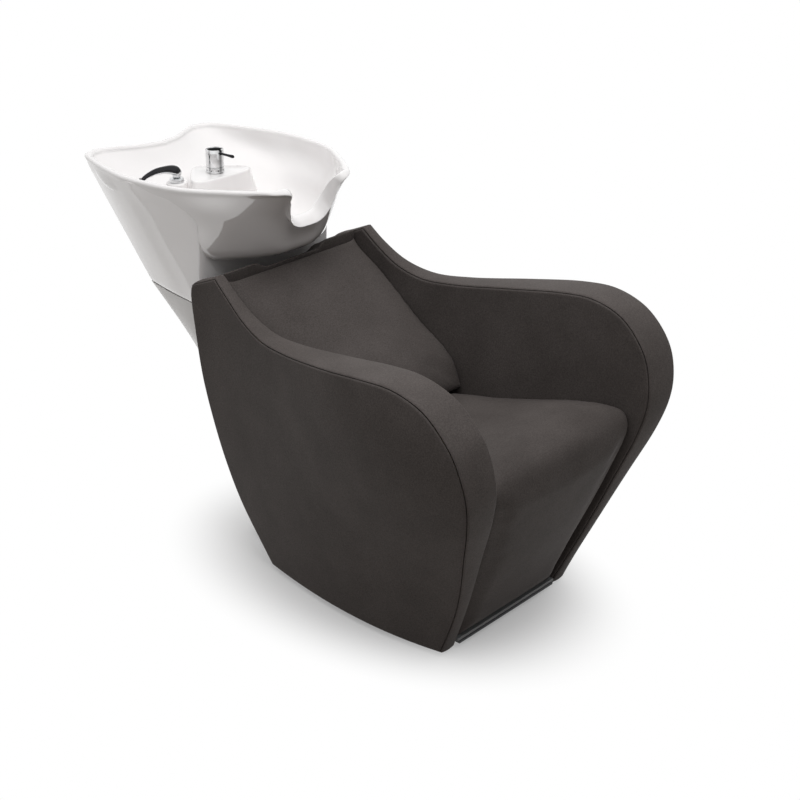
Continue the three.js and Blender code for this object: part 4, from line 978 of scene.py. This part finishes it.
def bowlStations(c):
    # For each point of the rim's line: its places on both walls, the bead's top and the lip's roll
    line = topLine()
    last = len(line) - 1
    along = unitRows(np.gradient(line, axis=0))
    stations = []
    for i, (centre, tangent) in enumerate(zip(line, along)):
        if i in (0, last):
            tangent = np.array([1.0 if i == 0 else -1.0, 0, 0])
        out = np.array([tangent[1], -tangent[0], 0])
        out /= np.linalg.norm(out)
        rise = np.cross(tangent, out)
        rise *= 1 if rise[2] > 0 or abs(rise[0]) > 0.5 else -1
        lean = -1 if centre[2] < c["leanBelow"] else 0
        if np.dot(rise, [lean, 0, 1]) < 0:
            rise = -rise
        inFront = centre[1] < c["notchBack"]
        notched = fadedAfter(centre[0], c["beadEnd"]) if inFront else 0
        bead = c["rimBead"] + (c["notchBead"] - c["rimBead"]) * notched
        lipZ, lipDepth, lipLeast = c["lipTop"]
        lipShare = lipLeast + (1 - lipLeast) * smoothStep((lipZ - centre[2]) / lipDepth)
        lipShare *= fadedAfter(centre[0], c["lipEnd"]) if inFront else 0
        outward = centre[:2] - np.array([0, c["centreY"]])
        outward = np.array([*(outward / np.linalg.norm(outward)), 0])
        top = centre + rise * bead
        foot = top - rise * (c["beadFoot"][0] + c["beadFoot"][1] * notched)
        onOuter, onInner = nearestOn(outerWall, foot), nearestOn(innerWall, foot)
        stations.append({
            "even": i / last,
            "outer": onOuter,
            "inner": onInner,
            "outside": onWall(outerWall, *onOuter),
            "inside": onWall(innerWall, *onInner),
            "top": top,
            "rolled": (outward * c["lipOut"] - np.array([0, 0, c["lipDroop"]])) * lipShare,
            "notched": notched,
        })
    return stations


def bowlRings(c):
    stations = bowlStations(c)
    outSteps, beadSteps, inSteps = c["rings"]

    def ringOf(rule):
        return [place(*point) for point in mirrored([rule(station) for station in stations])]

    def wallRing(wall, side, share):
        def rule(station):
            across, deep = station[side]
            blend = smoothStep(share * c["evening"])
            return onWall(wall, across + (station["even"] - across) * blend, deep + (1 - deep) * share)
        return ringOf(rule)

    def beadRing(turn):
        def rule(station):
            outside, inside = station["outside"], station["inside"]
            middle, half = (outside + inside) / 2, (outside - inside) / 2
            across, upward = math.cos(turn), math.sin(turn)
            swell = c["rimSwell"] + (c["notchSwell"] - c["rimSwell"]) * station["notched"]
            if across < 0:
                swell = c["innerSwell"]
            point = middle + half * across * (1 + swell * upward) + (station["top"] - middle) * upward
            return point + station["rolled"] * (math.sin(2 * turn) if across > 0 else 0)
        return ringOf(rule)

    rings = [wallRing(outerWall, "outer", (k / outSteps) ** c["crowding"]) for k in range(outSteps, 0, -1)]
    rings += [beadRing(math.pi * k / beadSteps) for k in range(beadSteps + 1)]
    rings += [wallRing(innerWall, "inner", (k / inSteps) ** c["crowding"]) for k in range(1, inSteps + 1)]
    rings.append(rings[0])
    return rings


bowl = pulled("basinBowl", bowlRings(basin), filled=False)
print("bowl drawn")


# Skirt round the bowl, with a soft crease on each side
skirt = {
    "stations": 130,
    "bottom": 604,
    "top": 876.5,
    "wall": 13,
    "fold": 6,
    "foldWidth": 62,
    "foldFrom": 120,
    "edge": ((0, -3), (0.7, -0.9)),  # rounded lower edge: height above the bottom, and how far out
    "edgeHeight": 2.5,
    "levels": 26,
    "topRound": (20, 3),  # how far down the top's rounding begins, and how far in it goes
    "foldLine": ((604, 262), (663, 289), (743, 333), (814, 363), (880, 421)),  # height and place in depth
}
skirtTopShares = [
    (0, 0.281), (0.76, 0.281), (0.84, 0.284), (0.885, 0.3), (0.935, 0.336), (0.985, 0.411),
    (1.018, 0.515), (1.024, 0.614), (0.99, 0.714), (0.935, 0.814), (0.865, 0.904), (0.8, 0.969),
    (0.734, 0.998), (0.598, 1.013), (0.469, 0.991), (0.224, 0.934), (0, 0.911),
]
skirtBottomShares = [
    (0, 0.281), (0.72, 0.281), (0.77, 0.286), (0.79, 0.3), (0.797, 0.325), (0.792, 0.363),
    (0.78, 0.41), (0.762, 0.465), (0.738, 0.522), (0.71, 0.58), (0.68, 0.637), (0.648, 0.678),
    (0.606, 0.689), (0.504, 0.678), (0.394, 0.663), (0.189, 0.637), (0, 0.628),
]


def pairedCurves(first, second, count):
    # Two outlines drawn as one curve in four dimensions, so that their points stay paired
    both = [(*a, *b) for a, b in zip(first, second)]
    line = curveThrough(both, count)
    return line[:, :2], line[:, 2:]


def skirtRings(c):
    top, bottom = pairedCurves(basinPoints(skirtTopShares), basinPoints(skirtBottomShares), c["stations"])
    foldZ, foldY = zip(*c["foldLine"])

    def section(z, distance, folded):
        share = (z - c["bottom"]) / (c["top"] - c["bottom"])
        half = movedOut(bottom + (top - bottom) * share, distance)
        if folded:
            for point in half:
                gap = abs(point[1] - np.interp(z, foldZ, foldY))
                if abs(point[0]) > c["foldFrom"] and gap < c["foldWidth"]:
                    point[0] += c["fold"] * (1 - gap / c["foldWidth"]) ** 2
        return [place(x, y, z) for x, y in mirrored(half)]

    heights = np.linspace(c["bottom"] + c["edgeHeight"], c["top"], c["levels"])
    rings = [section(c["bottom"] + rise, outward, True) for rise, outward in c["edge"]]
    deep, inward = c["topRound"]
    rings += [section(z, -inward * max(0, (z - c["top"] + deep) / deep), True) for z in heights]
    rings += [section(z, -c["wall"], False) for z in (c["top"], (c["top"] + c["bottom"]) / 2, c["bottom"])]
    rings.append(rings[0])
    return rings


def bowlBody():
    # A closed body whose surface lies midway between the bowl's two walls
    middle = (innerWall + outerWall) / 2
    rings = []
    for k in range(0, middle.shape[1], basin["bodyStep"]):
        rings.append([place(*point) for point in mirrored(middle[::2, k])])
    raised = [point + Vector((0, 0, basin["bodyRise"] * unit["scale"])) for point in rings[0]]
    return pulled("bowlBody", [raised, *rings])


def joinedWith(piece, other, how):
    pick(piece)
    bpy.ops.object.modifier_add(type="BOOLEAN")
    piece.modifiers[-1].operation = how
    piece.modifiers[-1].object = other
    finishModifiers(piece)
    bpy.data.objects.remove(other)


skirtPiece = pulled("basinSkirt", skirtRings(skirt), filled=False)
joinedWith(skirtPiece, bowlBody(), "DIFFERENCE")

platform = {
    "shares": [
        (0, 0.497), (0.161, 0.499), (0.276, 0.507), (0.339, 0.528), (0.319, 0.565),
        (0.236, 0.612), (0.134, 0.659), (0.055, 0.69), (0, 0.697),
    ],
    "deck": 844,
    "base": 724,
    "spread": 1.35,
    "centreY": 430,
    "round": 5,
    "levels": (724, 770, 810),
    "stations": 40,
    "roundTurns": (25, 50, 70, 90),
}


def platformRings(c):
    outline = curveThrough(basinPoints(c["shares"]), c["stations"])

    def section(z, shrink):
        share = (c["deck"] - z) / (c["deck"] - c["base"])
        scale = 1 + (c["spread"] - 1) * share
        half = [(x * scale, c["centreY"] + (y - c["centreY"]) * scale) for x, y in outline]
        middle = np.array([0, c["centreY"]])
        half = [tuple(np.array(p) + (middle - p) / max(np.linalg.norm(middle - p), 1) * shrink) for p in half]
        return [place(x, y, z) for x, y in mirrored(half)]

    rings = [section(z, 0) for z in (*c["levels"], c["deck"] - c["round"])]
    for turn in c["roundTurns"]:
        angle = math.radians(turn)
        drop, shrink = c["round"] * (1 - math.sin(angle)), c["round"] * (1 - math.cos(angle))
        rings.append(section(c["deck"] - drop, shrink))
    return rings


shower = {
    "spot": (-97, 447),
    "boss": [(30, 772), (27.6, 800), (25.4, 826), (24.6, 833), (23.4, 835.4), (21.5, 836)],
}
platformPiece = pulled("mixerPlatform", platformRings(platform))
bossPiece = turnedPiece("showerBoss", shower["boss"], shower["spot"], 48)
joinedWith(platformPiece, bowlBody(), "INTERSECT")
joinedWith(bossPiece, bowlBody(), "INTERSECT")

# The bowl, platform and boss take the darker glaze with painted shade
dressed(bowl, "ceramic", "wash_basin", "basin", finish="bowlCeramicPaintedShade", angle=60)
dressed(skirtPiece, "ceramic", "wash_basin", "basin", angle=35)
dressed(platformPiece, "ceramic", "wash_basin", "basin", finish="bowlCeramicPaintedShade", angle=35)
dressed(bossPiece, "ceramic", "wash_basin", "basin", finish="bowlCeramicPaintedShade", angle=50)
print("basin made")


# Lower cover: height share, then front, back and half width as basin shares
cover = {
    "top": 601.5,
    "wall": 5,
    "shares": [
        (1, 0.325, 0.688, 0.795), (0.798, 0.301, 0.484, 0.717), (0.6, 0.264, 0.37, 0.61),
        (0.391, 0.215, 0.325, 0.551), (0.166, 0.102, 0.275, 0.5), (0.02, 0.005, 0.262, 0.49),
    ],
    "firstPoint": 4,
    "around": 80,
    "levels": 44,
}


def coverRings(c):
    traced = skirtBottomShares[c["firstPoint"]:]
    line = curveThrough(traced, c["around"])
    firstHalf, firstDepth = traced[0]
    deepest = max(depth for _, depth in traced)
    rings = []
    for height, front, backShare, half in curveThrough(c["shares"], c["levels"]):
        side = [
            (x / firstHalf * half, front + (backShare - front) * (y - firstDepth) / (deepest - firstDepth))
            for x, y in line
        ]
        side = basinPoints(side)
        outer = np.array(side + [(-x, y) for x, y in reversed(side[:-1])])
        inner = offsetLine(outer, c["wall"], False)[::-1]
        rings.append([place(x, y, height * c["top"]) for x, y in np.vstack([outer, inner])])
    return rings


coverPiece = pulled("lowerCoverShell", coverRings(cover))
dressed(coverPiece, "cover_white", "cover", "lower_cover", angle=35)
print("lower cover made")


# Mixer
mixer = {
    "spot": (0, 419.97),
    "radius": 21.3,
    "leverZ": 892.6,
    "slot": (7.2, 24, 19),
    "slotReach": 20,
    "slotZ": 898,
    "dots": 8,
    "dotRadius": 1.5,
    "dotInset": 0.9,
    "dotZ": 851.2,
}
r = mixer["radius"]
collar = turnedPiece("mixerCollar", [
    (14.8, 812.2), (15, 844.4), (r - 0.9, 844.4), (r - 0.25, 844.7), (r, 845.3), (r, 849.6), (r - 0.5, 850),
    (r - 0.5, 852.4), (r, 852.8), (r, 857.4), (r - 0.3, 858.1), (r - 1, 858.4), (10, 858.4),
], mixer["spot"], 96)
dressed(collar, "chrome", "wash_basin", "mixer_base", finish="mixerChromePaintedReflections", angle=30)

head = turnedPiece("mixerBarrel", [
    (10, 858.8), (r - 1, 858.8), (r - 0.3, 859.1), (r, 859.8), (r, 898.6), (r - 0.3, 899.4), (r - 1, 899.95),
    (r - 2, 900), (17.6, 900), (17, 899.6), (16.8, 899), (16.8, 884.4), (8, 884),
], mixer["spot"], 96)
cap = turnedPiece("mixerInset", [
    (14.6, 884.5), (16.5, 884.8), (16.6, 885.4), (16.6, 897.6), (16.2, 898.2), (15.7, 897.8), (15.4, 896),
    (15.2, 890), (14, 888.6), (12, 888.2), (6, 888),
], mixer["spot"], 96)


def slotCutter(c):
    clearSelection()
    spot = place(c["spot"][0], c["spot"][1] - c["slotReach"], c["slotZ"])
    size = Vector(c["slot"]) * unit["scale"]
    bpy.ops.mesh.primitive_cube_add(size=1, location=spot, scale=size)
    bpy.ops.object.transform_apply(location=True, rotation=True, scale=True)
    return bpy.context.object


joinedWith(head, slotCutter(mixer), "DIFFERENCE")
joinedWith(cap, slotCutter(mixer), "DIFFERENCE")
dressed(head, "chrome", "mixer_head", "mixer_head", finish="mixerChromePaintedReflections", angle=30)
dressed(cap, "black_plastic", "mixer_head", "mixer_cap", angle=30)


def rodAlong(name, path, radii, sides=32, flat=1.0):
    # A bar with its own radius at each point of a path in millimetres; flat thins it upward
    points = np.array(path, float)
    along = np.gradient(points, axis=0)
    rings = []
    for point, tangent, radius in zip(points, along, radii):
        axis = Vector(tangent).normalized()
        up = Vector((0, 0, 1))
        up = (up - axis * up.dot(axis)).normalized()
        side = axis.cross(up)
        centre = place(*point)
        turns = [2 * math.pi * i / sides for i in range(sides)]
        rings.append([
            centre + (up * math.cos(a) * flat + side * math.sin(a)) * radius * unit["scale"] for a in turns
        ])
    return pulled(name, rings)


# How far out from the axis, and the radius there
leverProfile = [
    (-3.9, 1.2), (-3, 2.9), (0, 4.1), (6, 2.9), (20, 2.8), (40, 2.9), (56, 3.4), (60, 3.9), (63, 3.9),
    (65.4, 2.9), (66, 1.2),
]
leverPath = [(0, mixer["spot"][1] - reach, mixer["leverZ"]) for reach, _ in leverProfile]
lever = rodAlong("mixerPin", leverPath, [radius for _, radius in leverProfile])
dressed(lever, "chrome", "mixer_lever", "mixer_lever", finish="dark_chrome", angle=40)

for i in range(mixer["dots"]):
    turn = 2 * math.pi * (i + 0.5) / mixer["dots"]
    reach = r - mixer["dotInset"]
    clearSelection()
    bpy.ops.mesh.primitive_uv_sphere_add(
        segments=16, ring_count=8, radius=mixer["dotRadius"] * unit["scale"],
        location=place(math.cos(turn) * reach, mixer["spot"][1] + math.sin(turn) * reach, mixer["dotZ"]),
    )
    dot = bpy.context.object
    dot.name = dot.data.name = f"collarDot{i}"
    settle(dot)
    dressed(dot, "black_plastic", "wash_basin")
print("mixer made")


# Hand shower in its socket
socket = turnedPiece("showerCollar", [
    (8.4, 790.4), (11.4, 790.4), (11.4, 836.4), (16, 836.4), (16.8, 836.8), (17, 837.6), (17, 843.6),
    (16.2, 845.4), (14.4, 846.4), (10, 846.4), (8.6, 846), (8.4, 845), (8.4, 790.4),
], shower["spot"], 64, filled=False)
dressed(socket, "chrome", "wash_basin", "shower_socket", angle=35)

neck = turnedPiece("showerNeck", [
    (8.8, 847.4), (9.5, 848), (9.6, 850), (10.6, 853), (11.8, 857), (12.2, 860), (11.4, 864), (8, 867),
], shower["spot"], 64)
dressed(neck, "chrome", "hand_shower", "hand_shower", angle=50)
handleShares = [
    (-0.352, 0.6155, 0.966), (-0.382, 0.617, 0.973), (-0.425, 0.619, 0.9785), (-0.492, 0.623, 0.983),
    (-0.591, 0.63, 0.9835), (-0.685, 0.637, 0.977), (-0.748, 0.642, 0.968),
]
# Share of the handle's length and its radius there
handleRadii = [(0, 4), (0.04, 9), (0.12, 12.6), (0.2, 12.4), (0.4, 9), (0.7, 7), (0.95, 5), (1, 4)]
spray = {
    "points": 40,
    "from": 3,
    "to": 36,
    "drop": (6.5, 3.5),  # how far below the handle's line it starts, and how much it comes up
    "width": 0.86,
    "flat": 0.55,
}
handlePath = curveThrough([
    (h * basin["half"], basin["frontY"] + d * basin["depth"], z * basin["rim"]) for h, d, z in handleShares
], spray["points"])
handleSwell = np.interp(np.linspace(0, 1, spray["points"]), *zip(*handleRadii))
handle = rodAlong("showerHandle", handlePath, handleSwell, 40, 0.9)
part = slice(spray["from"], spray["to"])
low, rise = spray["drop"]
bladePath = [(x, y, z - low + rise * k / spray["points"]) for k, (x, y, z) in enumerate(handlePath)][part]
blade = rodAlong("showerBlade", bladePath, handleSwell[part] * spray["width"], 32, spray["flat"])
dressed(blade, "chrome", "hand_shower", "hand_shower", angle=50)
dressed(handle, "dark_chrome", "hand_shower", "hand_shower", angle=50)
print("hand shower made")


# Drain
drain = {
    "spot": (0, 304.99),
    "holes": 12,
    "holeReach": 12.6,
    "holeRadius": 2.1,
    "holeDepth": 8,
    "holeZ": 721,
}
flange = turnedPiece("drainRing", [
    (16, 718.2), (29.6, 718.2), (30, 719), (29.4, 720.2), (27.4, 721), (22.4, 721.1), (20.8, 720.6),
    (20.7, 719.6), (16.2, 719.5), (16, 718.2),
], drain["spot"], 72, filled=False)
dressed(flange, "chrome", "wash_basin", "drain_flange", angle=35)

strainer = turnedPiece("strainerPlate", [
    (19.6, 720), (20, 720.4), (19.8, 721.1), (19, 721.5), (5.2, 721.6), (4.2, 722.4), (3.6, 724.6),
    (4.2, 726), (3.8, 726.9), (2, 727),
], drain["spot"], 72)
for i in range(drain["holes"]):
    turn = 2 * math.pi * i / drain["holes"]
    x = drain["spot"][0] + math.cos(turn) * drain["holeReach"]
    y = drain["spot"][1] + math.sin(turn) * drain["holeReach"]
    clearSelection()
    bpy.ops.mesh.primitive_cylinder_add(
        vertices=20, radius=drain["holeRadius"] * unit["scale"], depth=drain["holeDepth"] * unit["scale"],
        location=place(x, y, drain["holeZ"]),
    )
    cutter = bpy.context.object
    bpy.ops.object.transform_apply(location=True, rotation=True, scale=True)
    joinedWith(strainer, cutter, "DIFFERENCE")
dressed(strainer, "chrome", "strainer", "hair_strainer", angle=30)
print("drain made")


# Studio, in metres: a plain pale floor, a white surround and two soft lamps
studio = {
    "floorSize": 60,
    "floorWhite": (0.95, 0.945, 0.942),
    "floorBounce": (0.36, 0.325, 0.295),  # what the floor gives back onto the object
    "shadowCentre": (0.0, -0.15),
    "footprint": (0.39, 0.58),
    "near": 0.6,  # where the floor starts turning into the white surround, in footprints
    "far": 1.13,
    "nearGlow": 0.27,
    "surroundDark": 0.0,
    "surroundLight": 0.51,
    "lightSide": (-0.72, 0.6, 0.35),  # the studio is lightest on this side of the object
    "topPower": 86,
    "topSize": 3.4,
    "topSpot": (0.1, -0.5, 3.4),
    "sidePower": 1,
    "sideSize": 2.2,
    "sideSpot": (2.6, -2.2, 2.0),
}


def seenBy(tree, kinds):
    # 1 for rays of these kinds, and 0 for the light that falls on the object
    path = tree.nodes.new("ShaderNodeLightPath")
    seen = path.outputs[kinds[0]]
    for kind in kinds[1:]:
        seen = mathOn(tree, "MAXIMUM", seen, path.outputs[kind])
    return seen


def addFloor(c):
    clearSelection()
    bpy.ops.mesh.primitive_plane_add(size=c["floorSize"])
    floor = bpy.context.object
    floor.name = "floor"
    material, tree, shader, coords = newMaterial("paleFloor")
    across, along = c["footprint"]
    spread = addNode(tree, "Mapping", {
        "Vector": coords.outputs["Object"],
        "Scale": (1 / across, 1 / along, 1),
        "Location": (-c["shadowCentre"][0] / across, -c["shadowCentre"][1] / along, 0),
    })
    distance = addNode(tree, "VectorMath", {0: spread.outputs["Vector"]}, operation="LENGTH")
    fade = addNode(tree, "MapRange", {
        "Value": distance.outputs["Value"], "From Min": c["near"], "From Max": c["far"],
        "To Min": c["nearGlow"], "To Max": 1,
    }, interpolation_type="SMOOTHSTEP")
    seen = seenBy(tree, ("Is Camera Ray", "Is Glossy Ray"))
    pale = tree.nodes.new("ShaderNodeMix")
    pale.data_type = "RGBA"
    tones = [socket for socket in pale.inputs if socket.type == "RGBA"]
    tones[0].default_value = (*c["floorBounce"], 1)
    tones[1].default_value = (*c["floorWhite"], 1)
    tree.links.new(seen, pale.inputs[0])
    feed(tree, shader, {
        "Base Color": next(socket for socket in pale.outputs if socket.type == "RGBA"),
        "Roughness": 0.9,
        "Specular IOR Level": 0.0,
    })
    glow = tree.nodes.new("ShaderNodeEmission")
    mix = addNode(tree, "MixShader", {
        "Fac": mathOn(tree, "MULTIPLY", fade.outputs["Result"], seen),
        1: shader.outputs["BSDF"],
        2: glow.outputs["Emission"],
    })
    tree.links.new(mix.outputs["Shader"], tree.nodes["Material Output"].inputs["Surface"])
    floor.data.materials.append(material)


def addSurround(c):
    world = bpy.data.worlds.new("studio")
    scene.world = world
    world.use_nodes = True
    tree = world.node_tree
    coords = tree.nodes.new("ShaderNodeTexCoord")
    toLight = addNode(tree, "VectorMath", {
        0: coords.outputs["Generated"], 1: Vector(c["lightSide"]).normalized(),
    }, operation="DOT_PRODUCT")
    level = addNode(tree, "MapRange", {
        "Value": toLight.outputs["Value"], "From Min": -1,
        "To Min": c["surroundDark"], "To Max": c["surroundLight"],
    }).outputs["Result"]
    seen = seenBy(tree, ("Is Camera Ray", "Is Glossy Ray", "Is Transmission Ray"))
    feed(tree, tree.nodes["Background"], {
        "Strength": rangeOn(tree, seen, level, 1),
        "Color": (1, 1, 1, 1),
    })


def addLamp(name, spot, size, power):
    data = bpy.data.lights.new(name, "AREA")
    data.shape = "SQUARE"
    data.size = size
    data.energy = power
    lamp = bpy.data.objects.new(name, data)
    scene.collection.objects.link(lamp)
    lamp.location = spot
    lamp.visible_glossy = False
    lamp.rotation_euler = (Vector((0, 0, 0.45)) - Vector(spot)).to_track_quat("-Z", "Y").to_euler()


addFloor(studio)
addSurround(studio)
addLamp("topLamp", studio["topSpot"], studio["topSize"], studio["topPower"])
addLamp("sideLamp", studio["sideSpot"], studio["sideSize"], studio["sidePower"])
scene.view_settings.view_transform = "Standard"
print("studio set")
